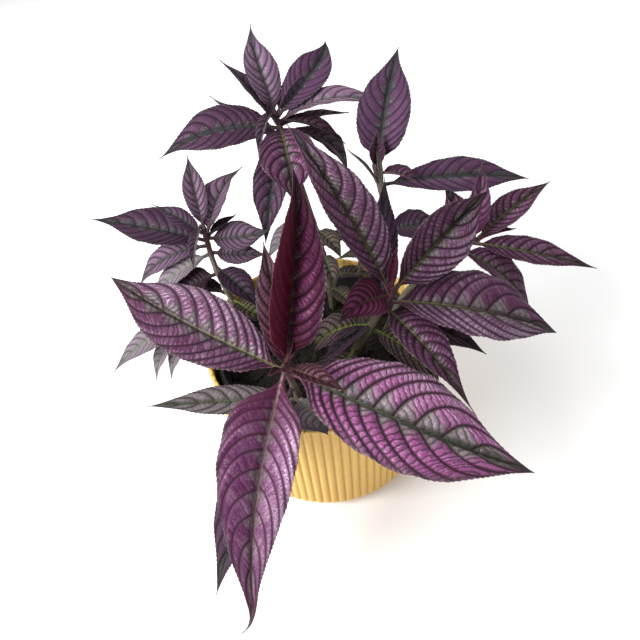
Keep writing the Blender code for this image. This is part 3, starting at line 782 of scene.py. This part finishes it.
def make_leaf_finish(name, look, painted_glint_colour):
    """Shiny cells between thin dark veins, with painted shade beside the veins and painted highlights,
    glints and a one-sided silvery sheen on them; dull wedges beside the midrib and a plain underside.
    """
    finish = Finish("blade_" + name, look.rough, look.gloss, LEAF_GLOSS)
    along, across, beside = finish.parts("blade")
    vein, ladder, lean = finish.parts("net")
    # The teeth, the half with painted shade and the half with a painted silvery sheen
    tooth, painted_shade_mask, painted_sheen_half = finish.parts("edge")
    under, seed, spacing = finish.parts("kind")
    fine = finish.noise(FINE_SCALE)
    grain = finish.noise(GRAIN_SCALE)
    cloud = finish.noise(CLOUD_SCALE)
    bent = vein + 0.02 * (grain - 0.5)
    within, band = bent.fraction(), bent.floor()
    cell = ladder + lean * within + BAND_SHIFT * band + 0.30 * (grain - 0.5)
    streak_place = finish.node("CombineXYZ", None, {0: vein * 9.0, 1: ladder * 0.35, 2: seed * 9.0})
    streak = finish.noise(1.0, vector=streak_place)
    cell_key = finish.node("CombineXYZ", None, {0: cell.floor(), 1: band, 2: (seed * 97.0).floor()})
    chance = finish.node("TexWhiteNoise", None, {"Vector": cell_key})

    # Millimetres from the nearest lateral vein and rung
    near_vein = (1 - abs(within - 0.5) * 2) * spacing * 0.5
    from_rung = 1 - abs(cell.fraction() - 0.5) * 2
    near_rung = from_rung * RUNG_HEIGHT
    vein_line = 1 - (near_vein / (look.vein_width * (1.2 - 0.6 * across))).rise(0.35, 1.0)
    patch = cloud.rise(0.38, 0.66)

    # Wedges start at the midrib and follow the tip side of each vein outwards
    ragged = 0.16 * (streak - 0.5) + 0.16 * (grain - 0.5)
    wedge = across + 0.32 * within + ragged - 0.16 * along.rise(0.5, 0.9)
    # On the half with the painted sheen the wedges reach a little further
    feather = 1 - (wedge - 0.05 * painted_sheen_half).rise(look.reach, look.reach + 0.18)
    rung_line = (1 - near_rung.rise(0.06, 0.42)) * near_vein.rise(0.1, 0.5) * across.rise(0.06, 0.26)
    rung_line = rung_line * (0.45 + 0.55 * patch) * (1 - 0.35 * feather) * look.rungs
    crest = near_vein.rise(0.2, 1.6)
    swell = crest * (1 - 0.6 * look.rungs * (1 - near_rung.rise(0.1, 1.1)))

    # Cells in the edge colour beside the veins as painted shade, with painted highlights, a painted silvery
    # sheen and painted glint specks
    # The edge colour in the dips beside the veins and rungs is painted shade
    cells = finish.blend(swell.rise(0.0, 0.85), look.edge, look.panel)
    # Painted highlights on the crests of chosen cells
    cells = finish.blend(swell * chance.rise(0.0, 1.0) * (0.08 + 0.24 * patch), cells, look.shine)
    speckle = 0.35 + 0.65 * fine.rise(0.38, 0.62)
    # A painted silvery sheen on the crests of one half, strongest towards the margin
    painted_sheen_share = painted_sheen_half * crest * (0.12 + 0.22 * patch + 0.50 * across.rise(0.55, 0.90)) * speckle
    cells = finish.blend(painted_sheen_share, cells, PAINTED_SHEEN)
    # Painted glint specks on the crests
    cells = finish.blend(fine.rise(0.55, 0.78) * crest * look.specks, cells, painted_glint_colour)
    cells = finish.blend((1 - fine.rise(0.28, 0.46)) * 0.35, cells, look.edge)

    # Wedges over the cells, and the dark band along the midrib
    outwards = (wedge / look.reach).rise(-0.1, 1.2)
    # In the wedges the dips beside the veins take a painted shade and the crests the feather colour
    painted_light_share = swell.rise(0.15, 0.95) * (0.55 + 0.45 * streak.rise(0.35, 0.60)) * (0.25 + 0.75 * outwards)
    pale = finish.blend(painted_light_share, scaled(look.dark, 1.5), look.feather)
    # Painted glint specks in the wedges
    pale = finish.blend(fine.rise(0.50, 0.75) * 0.30 * outwards, pale, painted_glint_colour)
    feathered = finish.blend(feather * 0.90, cells, pale)
    close = 1 - ((beside + 1.4 * (grain - 0.5)) / (0.45 + 0.8 * along)).rise(0.45 * look.band, look.band)
    close = close * (1 - (across + 0.5 * (streak - 0.5)).rise(0.25, 0.70))
    feathered = finish.blend(close * 0.80, feathered, look.dark)

    # Margin, dry tip, veins, teeth, root and midrib
    margin = (across + 0.14 * (grain - 0.5)).rise(0.84, 0.98)
    # The margin colour is weaker on the half with the painted sheen
    edged = finish.blend(margin * (0.75 - 0.35 * painted_sheen_half), feathered, look.margin)
    tip = (along + 0.03 * (grain - 0.5)).rise(0.88, 0.98)
    tipped = finish.blend(tip * 0.80, edged, look.tip)
    lines = (vein_line * 0.95).larger(rung_line * 0.70) * look.lines
    veined = finish.blend(lines * (1 - 0.5 * tip), tipped, look.vein)
    bead = across.rise(0.945, 0.985) * tooth.fraction().rise(0.30, 0.85)
    beaded = finish.blend(bead * 0.35, veined, TOOTH_BEAD)
    near_root = 1 - (along + 0.06 * (streak - 0.5)).rise(0.02, look.flare)
    rooted = finish.blend(near_root * 0.90, beaded, look.root)
    rib_line = 1 - (beside / (1.05 - 0.75 * along)).rise(0.55, 1.0)
    ribbed = finish.blend(rib_line * 0.85 * (1 - 0.8 * along.rise(0.35, 0.75)), rooted, look.rib)
    # Painted shade in dark red over one half of the leaf, fading out towards the tip
    upper = finish.blend(painted_shade_mask * 0.80 * (1 - along.rise(0.55, 0.85)), ribbed, PAINTED_SHADE_RED)

    # The underside, and one tone for each leaf
    back = finish.blend(crest, scaled(look.under, 1.5), look.under)
    back = finish.blend(rib_line, back, look.rib)
    tone = 0.82 + 0.36 * seed
    grey = finish.node("CombineColor", None, {0: tone, 1: tone, 2: tone})
    finish.set("Base Color", finish.blend(1.0, finish.blend(under, upper, back), grey, "MULTIPLY"))

    metal = look.metallic * swell * (1 - under) * (1 - feather) * (1 - margin)
    finish.set("Metallic", metal.larger(lines * 0.45 * (1 - under)))
    finish.set("Roughness", look.rough + 0.22 * (1 - crest) + 0.25 * (grain - 0.5) + 0.15 * under)

    # Pillows between the veins, low ones between the rungs, and grain
    rounded = near_vein / spacing * 2
    height = 0.07 * look.relief * spacing * rounded * (2 - rounded)
    height = height + 0.32 * look.rungs * look.relief * from_rung * (2 - from_rung) * crest
    height = height + 0.24 * grain + 0.16 * fine - 0.16 * vein_line - 0.12 * rung_line
    finish.bump(height, 1.0, 0.001)
    return finish.material


# ---- Settings ----
class PlantSettings(bpy.types.PropertyGroup):
    quilting: FloatProperty(
        name="Quilting", description="Height of the pillows over the vein spacing", subtype="FACTOR",
        default=0.14, min=0.0, max=1.0,
    )
    tooth_depth: FloatProperty(name="Tooth depth", description="Depth of the teeth in mm", default=0.55)
    # The colour of the painted glints on the cells
    painted_glint: FloatVectorProperty(
        name="Glint", description="Colour of the silvery specks on the cells", subtype="COLOR", size=3,
        default=(0.62, 0.38, 0.56), min=0.0, max=1.0,
    )
    bark: FloatVectorProperty(
        name="Bark", description="Colour of the old stems", subtype="COLOR", size=3,
        default=(0.115, 0.098, 0.060), min=0.0, max=1.0,
    )
    shoot: FloatVectorProperty(
        name="Shoot", description="Colour of the young stems", subtype="COLOR", size=3,
        default=(0.060, 0.012, 0.022), min=0.0, max=1.0,
    )


class PotSettings(bpy.types.PropertyGroup):
    ribs: IntProperty(name="Ribs", description="Number of flutes around the cover pot", default=88)
    rib_depth: FloatProperty(name="Rib depth", description="Depth of the flutes in mm", default=1.3)
    pot_colour: FloatVectorProperty(
        name="Pot colour", description="Colour of the cover pot", subtype="COLOR", size=3,
        default=(0.71, 0.46, 0.122), min=0.0, max=1.0,
    )
    # The soil's own dark colour, darkened further to near black as painted shade
    soil_and_shade_colour: FloatVectorProperty(
        name="Soil colour", description="Colour of the damp soil", subtype="COLOR", size=3,
        default=(0.014, 0.011, 0.0075), min=0.0, max=1.0,
    )
    crumbs: IntProperty(name="Crumbs", description="Number of loose soil crumbs", default=900)


class StageSettings(bpy.types.PropertyGroup):
    key_light: FloatProperty(
        name="Key light", description="Power of the large soft light", unit="POWER", default=27.0,
    )
    sky: FloatProperty(
        name="Sky", description="Strength of the even white surroundings", subtype="FACTOR",
        default=0.66, min=0.0, max=1.0,
    )
    floor_colour: FloatVectorProperty(
        name="Floor colour", description="Colour of the floor", subtype="COLOR", size=3,
        default=(0.97, 0.97, 0.97), min=0.0, max=1.0,
    )


# ---- Leaves ----
def grow_leaves(plant, leaves, replacing):
    """Build leaves with their finishes, which are made once; they may stand for their solids."""
    for name, look in LOOKS.items():
        if "blade_" + name not in bpy.data.materials:
            make_leaf_finish(name, look, tuple(plant.painted_glint))
    for leaf in leaves:
        material = bpy.data.materials["blade_" + look_name(leaf)]
        build_leaf(leaf, plant, material, leaf.name if replacing else None)


class PERSIANSHIELD_OT_leaves(bpy.types.Operator):
    """Grow every large leaf in place of its solid."""

    bl_idname = "persianshield.leaves"
    bl_label = "Leaves"

    def execute(self, context):
        grow_leaves(context.scene.persian_plant, LEAVES, replacing=True)
        return {"FINISHED"}


class PERSIANSHIELD_OT_young_leaves(bpy.types.Operator):
    """Grow the small young leaves in the crowns and at the nodes."""

    bl_idname = "persianshield.young_leaves"
    bl_label = "Young leaves"

    def execute(self, context):
        grow_leaves(context.scene.persian_plant, YOUNG_LEAVES, replacing=False)
        return {"FINISHED"}


# ---- Stems ----
STEM_SIDES = 20
STEM_FINE_RINGS = 22
NODE_LENGTH = 1.6
NODE_SWELL = 0.22
SQUARENESS = 0.06
BUD_STEP = 0.8
BUD_SHARES = (0.85, 0.55, 0.15)
NODE_SCAR = (0.05, 0.03, 0.025)
STEM_RIDGES = 12.0
BARK_GRAIN = 500.0
BARK_PATCHES = 90.0


def make_stem_finish(plant):
    """Tan-green bark that turns maroon towards the shoot's tip, with fine lengthwise ridges."""
    finish = Finish("bark_tan", 0.55, 0.4)
    height, turn, swell = finish.parts("stem")
    grain = finish.noise(BARK_GRAIN, 3.0)
    cloud = finish.noise(BARK_PATCHES)
    young = (height + 0.25 * (cloud - 0.5)).rise(0.55, 0.95)
    bark = finish.blend(grain.rise(0.3, 0.7), scaled(plant.bark, 0.55), plant.bark)
    skin = finish.blend(young, bark, plant.shoot)
    finish.set("Base Color", finish.blend(swell.rise(0.4, 1.0) * 0.5, skin, NODE_SCAR))
    finish.set("Roughness", 0.5 + 0.2 * grain)
    ridge = (turn * STEM_RIDGES).fraction() - 0.5
    finish.bump(grain * 0.6 + abs(ridge), 0.4, 0.0005)
    return finish.material


def build_stem(name, stem, material):
    """A tapering shoot with a swollen node wherever leaves grow and a rounded bud at its tip."""
    path = [np.array(point) for point in stem_path(stem, STEM_FINE_RINGS)]
    last = len(path) - 1
    reach = np.concatenate(([0.0], np.cumsum([np.linalg.norm(b - a) for a, b in zip(path, path[1:])])))
    tip_way = (path[-1] - path[-2]) / np.linalg.norm(path[-1] - path[-2])
    upright = Vector((0, 0, 1))
    nodes = [leaf.below for leaf in LEAVES + YOUNG_LEAVES if leaf.stem == name]
    rings = []
    swellings = []
    for index, centre in enumerate(path):
        along = upright if index == 0 else Vector(path[min(index + 1, last)] - path[index - 1]).normalized()
        turn = np.array(upright.rotation_difference(along).to_matrix())
        below = reach[-1] - reach[index]
        swell = max(math.exp(-(((below - node) / NODE_LENGTH) ** 2)) for node in nodes)
        swellings.append(swell)
        rings.append((centre, turn, stem_radius(stem, reach[index] / reach[-1]) * (1 + NODE_SWELL * swell)))
    for step, share in enumerate(BUD_SHARES, 1):
        rings.append((path[-1] + tip_way * BUD_STEP * step, rings[last][1], stem.tip_radius * share))
        swellings.append(0.0)
    angles = 2 * math.pi * (np.arange(STEM_SIDES) + 0.5) / STEM_SIDES
    square = 1 + SQUARENESS * np.cos(4 * angles)
    vertices = []
    for centre, turn, radius in rings:
        edge = radius * square
        circle = np.stack((edge * np.cos(angles), edge * np.sin(angles), 0 * angles), axis=-1)
        vertices.append(centre + circle @ turn.T)
    faces = ring_quads(len(rings), STEM_SIDES)
    faces.append(tuple(range(STEM_SIDES))[::-1])
    faces.append(tuple(range((len(rings) - 1) * STEM_SIDES, len(rings) * STEM_SIDES)))
    piece = add_piece(name + "_shoot", np.concatenate(vertices), faces, material, name)
    share = np.repeat(np.linspace(0, 1, len(rings)), STEM_SIDES)
    around = np.tile(np.arange(STEM_SIDES) / STEM_SIDES, len(rings))
    store_parts(piece.data, "stem", share, around, np.repeat(np.array(swellings), STEM_SIDES))


class PERSIANSHIELD_OT_stems(bpy.types.Operator):
    """Grow the shoots in place of their solids."""

    bl_idname = "persianshield.stems"
    bl_label = "Stems"

    def execute(self, context):
        material = make_stem_finish(context.scene.persian_plant)
        for name, stem in STEMS.items():
            build_stem(name, stem, material)
        return {"FINISHED"}


# ---- Pots and soil ----
COVER_RADIUS = 70.0
COVER_HEIGHT = 96.0
COVER_WALL = 2.6
COVER_FLOOR = 3.0
COVER_FOOT_RADIUS = 8.0
LIP_HEIGHT = 3.0
NURSERY_TOP = 88.0
NURSERY_RIM_RADIUS = 64.8
NURSERY_RIM_DEPTH = 7.0
NURSERY_TOP_RADIUS = 63.0
NURSERY_BASE_RADIUS = 47.0
NURSERY_BASE = 3.3
NURSERY_WALL = 1.2
SOIL_TOP = 74.0
SOIL_DOME = 2.0
SOIL_RADIUS = 58.9
CENTRE_RADIUS = 2.0
LIP_ROUND = 0.8
RIM_ROUND = 0.6
LINER_SIDES = 160
FLUTE_SIDES = 8
POT_GRAIN = 350.0
POT_PATCHES = 22.0
# How much darker the grooves are painted: painted shade
GROOVE_SHADE = (0.78, 0.66, 0.42)
SCUFFS = 160.0
DUST_PATCHES = 40.0
POT_SPECK = (0.92, 0.68, 0.32)
# Colour of the painted shade towards the foot
PAINTED_FOOT_SHADE = (0.62, 0.36, 0.10)
PLASTIC = (0.010, 0.010, 0.011)
DUST = (0.045, 0.040, 0.034)


def turned(name, profile, sides, material, replaced, flute=None):
    """Turn a closed (radius, height) outline about Z; flute may change each ring's radii."""
    angles = 2 * math.pi * np.arange(sides) / sides
    rings = []
    for radius, height in profile:
        radii = np.full(sides, float(radius))
        if flute:
            radii = flute(radii, angles, height, radius)
        level = np.full(sides, height)
        rings.append(np.stack((radii * np.cos(angles), radii * np.sin(angles), level), axis=-1))
    count = len(rings)
    base = np.arange(sides)
    faces = ring_quads(count, sides) + [base[::-1].tolist(), (base + (count - 1) * sides).tolist()]
    piece = add_piece(name, np.concatenate(rings), faces, material, replaced)
    around = np.tile(angles / (2 * math.pi), count)
    heights = np.repeat([height for _, height in profile], sides)
    store_parts(piece.data, "turn", around, heights, np.repeat([radius for radius, _ in profile], sides))


def arc(centre_radius, centre_height, radius, start, end, steps):
    """Outline points on a round corner, angles in degrees from the outward direction."""
    points = []
    for step in range(steps + 1):
        angle = math.radians(start + (end - start) * step / steps)
        points.append((centre_radius + radius * math.cos(angle), centre_height + radius * math.sin(angle)))
    return points


def make_pot_finish(pot):
    """Matte warm colour, with painted shade in the grooves and a browner painted shade towards the foot."""
    finish = Finish("glaze_yellow", 0.6, 0.35)
    around, height, _ = finish.parts("turn")
    groove = 1 - abs((around * float(pot.ribs)).fraction() - 0.5) * 2
    grain = finish.noise(POT_GRAIN, 3.0)
    cloud = finish.noise(POT_PATCHES)
    # Painted shade, browner, towards the foot
    low = 1 - (height + 14.0 * (cloud - 0.5)).rise(6.0, 60.0)
    crest_colour = tuple(pot.pot_colour)
    # The grooves are darker by painted shade
    painted_groove_shade = tuple(value * shade for value, shade in zip(crest_colour, GROOVE_SHADE))
    body = finish.blend(groove.rise(0.0, 0.55), painted_groove_shade, crest_colour)
    body = finish.blend(grain.rise(0.35, 0.8) * 0.18, body, POT_SPECK)
    finish.set("Base Color", finish.blend(low * 0.35, body, PAINTED_FOOT_SHADE))
    finish.set("Roughness", 0.52 + 0.16 * grain)
    finish.bump(grain, 0.25, 0.0003)
    return finish.material


class PERSIANSHIELD_OT_cover_pot(bpy.types.Operator):
    """Turn the fluted cover pot with its plain lip and rounded foot."""

    bl_idname = "persianshield.cover_pot"
    bl_label = "Cover pot"

    def execute(self, context):
        pot = context.scene.persian_pot
        inner = COVER_RADIUS - COVER_WALL
        foot = COVER_FOOT_RADIUS
        top = COVER_HEIGHT
        lip = top - LIP_HEIGHT
        profile = [(CENTRE_RADIUS, 0.0), (40.0, 0.0)]
        profile += arc(COVER_RADIUS - foot, foot, foot, -90, 0, 8)
        profile += [(COVER_RADIUS, height) for height in (14, 24, 40, 60, 80, lip - 0.9)]
        profile += [(COVER_RADIUS - 0.2, lip), (COVER_RADIUS, lip + 0.8)]
        profile += arc(COVER_RADIUS - LIP_ROUND, top - LIP_ROUND, LIP_ROUND, 0, 90, 3)
        profile += arc(inner + LIP_ROUND, top - LIP_ROUND, LIP_ROUND, 90, 180, 3)
        profile += [(inner, height) for height in (top - 2.2, 90, 80, 60, 40, 20)]
        profile += arc(inner - foot, COVER_FLOOR + foot, foot, 0, -90, 5)
        profile += [(CENTRE_RADIUS, COVER_FLOOR)]

        def flute(radii, angles, height, radius):
            """Flutes grow out of the foot and end at the lip; they are shallower inside."""
            ridge = np.abs(np.sin(angles * pot.ribs / 2)) ** 0.75
            if radius < COVER_RADIUS - foot - 0.1:
                strength = 0.0
            elif radius > inner + 0.5:
                strength = 0.35 if height > lip - 0.5 else smooth_step((height - 0.5) / 8.0)
            else:
                strength = -0.15 if height > top - 2.5 else -0.45 * smooth_step((height - 8.0) / 8.0)
            return radii - pot.rib_depth * strength * (1 - ridge)

        sides = pot.ribs * FLUTE_SIDES
        turned("cover_pot_fluted", profile, sides, make_pot_finish(pot), "cover_pot", flute)
        return {"FINISHED"}


def make_liner_finish():
    """Black moulded plastic with faint scuffs."""
    finish = Finish("liner_matte", 0.42, 0.45)
    scuff = finish.noise(SCUFFS, 3.0)
    dust = finish.noise(DUST_PATCHES)
    finish.set("Base Color", finish.blend(dust.rise(0.45, 0.8) * 0.35, PLASTIC, DUST))
    finish.set("Roughness", 0.34 + 0.3 * scuff)
    finish.bump(scuff, 0.2, 0.0003)
    return finish.material


class PERSIANSHIELD_OT_nursery_pot(bpy.types.Operator):
    """Turn the black nursery pot with its rounded rim."""

    bl_idname = "persianshield.nursery_pot"
    bl_label = "Nursery pot"

    def execute(self, context):
        shoulder = NURSERY_TOP - NURSERY_RIM_DEPTH
        slope = (NURSERY_TOP_RADIUS - NURSERY_BASE_RADIUS) / (NURSERY_TOP - NURSERY_BASE)
        outer = NURSERY_BASE_RADIUS + slope * (shoulder - NURSERY_BASE)
        floor = NURSERY_BASE + NURSERY_WALL
        profile = [(CENTRE_RADIUS, NURSERY_BASE), (NURSERY_BASE_RADIUS, NURSERY_BASE), (outer, shoulder)]
        profile += arc(NURSERY_RIM_RADIUS - RIM_ROUND, shoulder + RIM_ROUND, RIM_ROUND, -90, 0, 3)
        profile += arc(NURSERY_RIM_RADIUS - 1.0, NURSERY_TOP - 1.0, 1.0, 0, 90, 4)
        inside = NURSERY_TOP_RADIUS - NURSERY_WALL + RIM_ROUND
        profile += arc(inside, NURSERY_TOP - RIM_ROUND, RIM_ROUND, 90, 180, 3)
        profile += [(NURSERY_BASE_RADIUS - NURSERY_WALL, floor), (CENTRE_RADIUS, floor)]
        finish = make_liner_finish()
        turned("nursery_pot_liner", profile, LINER_SIDES, finish, "nursery_pot")
        return {"FINISHED"}


# ---- Soil ----
SOIL_SEED = 11
SOIL_RINGS = 46
SOIL_SIDES = 144
SOIL_WAVES = 26
SOIL_DEPTH = 12.0
LEVEL_EDGE = 3.0
SOIL_GRAIN = 900.0


def soil_height(radius):
    """Height of the domed soil at a distance from the pot's axis."""
    return SOIL_TOP + SOIL_DOME * (1 - (radius / SOIL_RADIUS) ** 2)


def make_soil_finish(pot):
    """Dark peat, darkened further to near black as painted shade, with paler fibres and crumbs."""
    finish = Finish("compost", 0.9, 0.25)
    shade, _, _ = finish.parts("crumb")
    grain = finish.noise(SOIL_GRAIN, 4.0)
    body = finish.blend(grain.rise(0.35, 0.7), scaled(pot.soil_and_shade_colour, 0.5), pot.soil_and_shade_colour)
    finish.set("Base Color", finish.blend(shade * 0.8, body, scaled(pot.soil_and_shade_colour, 2.6)))
    finish.set("Roughness", 0.8 + 0.15 * grain)
    finish.bump(grain, 0.7, 0.0008)
    return finish.material


def soil_bed(rng):
    """Points and faces of the uneven bed: rings from the middle outwards, then its underside."""
    shape = (SOIL_RINGS, SOIL_SIDES)
    radius = np.linspace(1.0, SOIL_RADIUS, SOIL_RINGS)[:, None] * np.ones((1, SOIL_SIDES))
    angle = 2 * math.pi * np.arange(SOIL_SIDES)[None, :] / SOIL_SIDES * np.ones((SOIL_RINGS, 1))
    x, y = radius * np.cos(angle), radius * np.sin(angle)
    bumps = np.zeros(shape)
    for _ in range(SOIL_WAVES):
        turn = rng.uniform(0, 2 * math.pi)
        length = rng.uniform(4.0, 22.0)
        push = (x * math.cos(turn) + y * math.sin(turn)) * 2 * math.pi / length
        bumps += 0.012 * length * np.sin(push + rng.uniform(0, 6.3))
    edge = np.where(radius > SOIL_RADIUS - LEVEL_EDGE, 0.2, 1.0)
    z = soil_height(radius) - 0.8 + bumps * edge
    z += rng.uniform(-0.25, 0.25, shape)
    top = np.stack((x, y, z), axis=-1).reshape(-1, 3)
    underside = np.full(SOIL_SIDES, SOIL_TOP - SOIL_DEPTH)
    low = np.stack((x[-1] * 0.985, y[-1] * 0.985, underside), axis=-1)
    base = np.arange(SOIL_SIDES)
    following = np.roll(base, -1)
    faces = [base.tolist()]
    for ring in range(SOIL_RINGS):
        inner, outer = ring * SOIL_SIDES, (ring + 1) * SOIL_SIDES
        quads = (base + inner, base + outer, following + outer, following + inner)
        faces += np.stack(quads, axis=-1).tolist()
    faces.append((base[::-1] + SOIL_RINGS * SOIL_SIDES).tolist())
    return np.concatenate((top, low)), faces


def crumb_form():
    """Points and faces of a small ball, the start of every crumb."""
    ball = bmesh.new()
    bmesh.ops.create_icosphere(ball, subdivisions=1, radius=1.0)
    points = np.array([vertex.co[:] for vertex in ball.verts])
    faces = [[vertex.index for vertex in face.verts] for face in ball.faces]
    ball.free()
    return points, faces


class PERSIANSHIELD_OT_soil(bpy.types.Operator):
    """Lay the crumbly soil inside the nursery pot."""

    bl_idname = "persianshield.soil"
    bl_label = "Soil"

    def execute(self, context):
        pot = context.scene.persian_pot
        rng = np.random.default_rng(SOIL_SEED)
        bed, faces = soil_bed(rng)
        vertices = [bed]
        count = len(bed)
        tones = [np.zeros(count)]
        points, crumb_faces = crumb_form()
        for _ in range(pot.crumbs):
            away = SOIL_RADIUS * math.sqrt(rng.uniform(0.0, 0.96))
            turn = rng.uniform(0, 2 * math.pi)
            size = rng.uniform(0.5, 1.7) * rng.uniform(0.6, 1.0)
            rough = points * (1 + rng.uniform(-0.3, 0.3, (len(points), 1))) * rng.uniform(0.5, 1.2, 3) * size
            height = soil_height(away) - 0.3 + rng.uniform(0, 0.6)
            vertices.append(rough + (away * math.cos(turn), away * math.sin(turn), height))
            faces += [[index + count for index in face] for face in crumb_faces]
            count += len(points)
            tones.append(np.full(len(points), rng.uniform(0, 1) ** 3))
        points, finish = np.concatenate(vertices), make_soil_finish(pot)
        piece = add_piece("potting_soil_crumbs", points, faces, finish, "potting_soil")
        tone = np.concatenate(tones)
        store_parts(piece.data, "crumb", tone, 0 * tone, 0 * tone)
        return {"FINISHED"}


# ---- Stage ----
WHITE = (1.0, 1.0, 1.0, 1.0)
CAMERA_PLACE = (0.002, -0.205, 0.326)
CAMERA_TILT_DOWN = 47.0
CAMERA_ROLL = -6.8
CAMERA_LENS = 28.125
CAMERA_SENSOR = 36.0
CAMERA_NEAR = 0.01
FLOOR_HALF = 3.0
# Each light: its place, the place that it faces, its width and its share of the key's power
LIGHTS = {
    "key": ((-0.98, -0.38, 0.85), (0.0, 0.0, 0.13), 0.8, 1.0),
    "fill": ((0.50, 1.20, 1.20), (0.10, 0.45, 0.0), 1.0, 0.3),
}


class PERSIANSHIELD_OT_stage(bpy.types.Operator):
    """Set the pale floor, the soft light and the camera."""

    bl_idname = "persianshield.stage"
    bl_label = "Stage"

    def execute(self, context):
        stage = context.scene.persian_stage
        scene = context.scene
        scene.view_settings.view_transform = "Standard"
        mesh = bpy.data.meshes.new("floor")
        half = FLOOR_HALF
        corners = ((-half, -half, 0), (half, -half, 0), (half, half, 0), (-half, half, 0))
        mesh.from_pydata(corners, [], [(0, 1, 2, 3)])
        floor = bpy.data.objects.new("floor", mesh)
        scene.collection.objects.link(floor)
        finish = Finish("floor_pale", 0.8, 0.2)
        finish.set("Base Color", tuple(stage.floor_colour))
        mesh.materials.append(finish.material)

        world = bpy.data.worlds.new("sky")
        scene.world = world
        world.use_nodes = True
        background = world.node_tree.nodes["Background"]
        background.inputs["Color"].default_value = WHITE
        background.inputs["Strength"].default_value = stage.sky

        for name, (place, target, size, share) in LIGHTS.items():
            add_area_light(name, place, target, size, share * stage.key_light)

        down = math.radians(CAMERA_TILT_DOWN)
        roll = math.radians(CAMERA_ROLL)
        forward = Vector((0.0, math.cos(down), -math.sin(down)))
        right = Vector((1.0, 0.0, 0.0))
        above = right.cross(forward)
        x_axis = right * math.cos(roll) + above * math.sin(roll)
        y_axis = above * math.cos(roll) - right * math.sin(roll)
        turn = Matrix((x_axis, y_axis, -forward)).transposed().to_4x4()
        data = bpy.data.cameras.new("camera")
        data.sensor_width = CAMERA_SENSOR
        data.lens = CAMERA_LENS
        data.clip_start = CAMERA_NEAR
        camera = bpy.data.objects.new("camera", data)
        camera.matrix_world = Matrix.Translation(CAMERA_PLACE) @ turn
        scene.collection.objects.link(camera)
        scene.camera = camera
        return {"FINISHED"}


def add_area_light(name, place, target, size, power):
    """A round soft light at a place that faces a target."""
    data = bpy.data.lights.new(name, "AREA")
    data.shape = "DISK"
    data.size = size
    data.energy = power
    light = bpy.data.objects.new(name, data)
    light.location = place
    light.rotation_euler = (Vector(place) - Vector(target)).to_track_quat("Z", "Y").to_euler()
    bpy.context.scene.collection.objects.link(light)


OPERATORS = (
    PERSIANSHIELD_OT_cover_pot,
    PERSIANSHIELD_OT_nursery_pot,
    PERSIANSHIELD_OT_soil,
    PERSIANSHIELD_OT_stems,
    PERSIANSHIELD_OT_leaves,
    PERSIANSHIELD_OT_young_leaves,
    PERSIANSHIELD_OT_stage,
)


class PERSIANSHIELD_PT_panel(bpy.types.Panel):
    """Lists the plant's settings and pieces."""

    bl_idname = "PERSIANSHIELD_PT_panel"
    bl_label = "Potted Persian Shield"
    bl_space_type = "VIEW_3D"
    bl_region_type = "UI"
    bl_category = "Plant"

    def draw(self, context):
        layout = self.layout
        for group in (context.scene.persian_plant, context.scene.persian_pot, context.scene.persian_stage):
            for key in group.__annotations__:
                layout.prop(group, key)
        for operator in OPERATORS:
            layout.operator(operator.bl_idname)


GROUPS = (
    ("persian_plant", PlantSettings),
    ("persian_pot", PotSettings),
    ("persian_stage", StageSettings),
)


def register():
    for name, group in GROUPS:
        bpy.utils.register_class(group)
        setattr(bpy.types.Scene, name, PointerProperty(type=group))
    for operator in OPERATORS:
        bpy.utils.register_class(operator)
    bpy.utils.register_class(PERSIANSHIELD_PT_panel)


def unregister():
    bpy.utils.unregister_class(PERSIANSHIELD_PT_panel)
    for operator in reversed(OPERATORS):
        bpy.utils.unregister_class(operator)
    for name, group in reversed(GROUPS):
        delattr(bpy.types.Scene, name)
        bpy.utils.unregister_class(group)


def main():
    register()
    for operator in OPERATORS:
        group, action = operator.bl_idname.split(".")
        getattr(getattr(bpy.ops, group), action)()


if __name__ == "__main__":
    main()
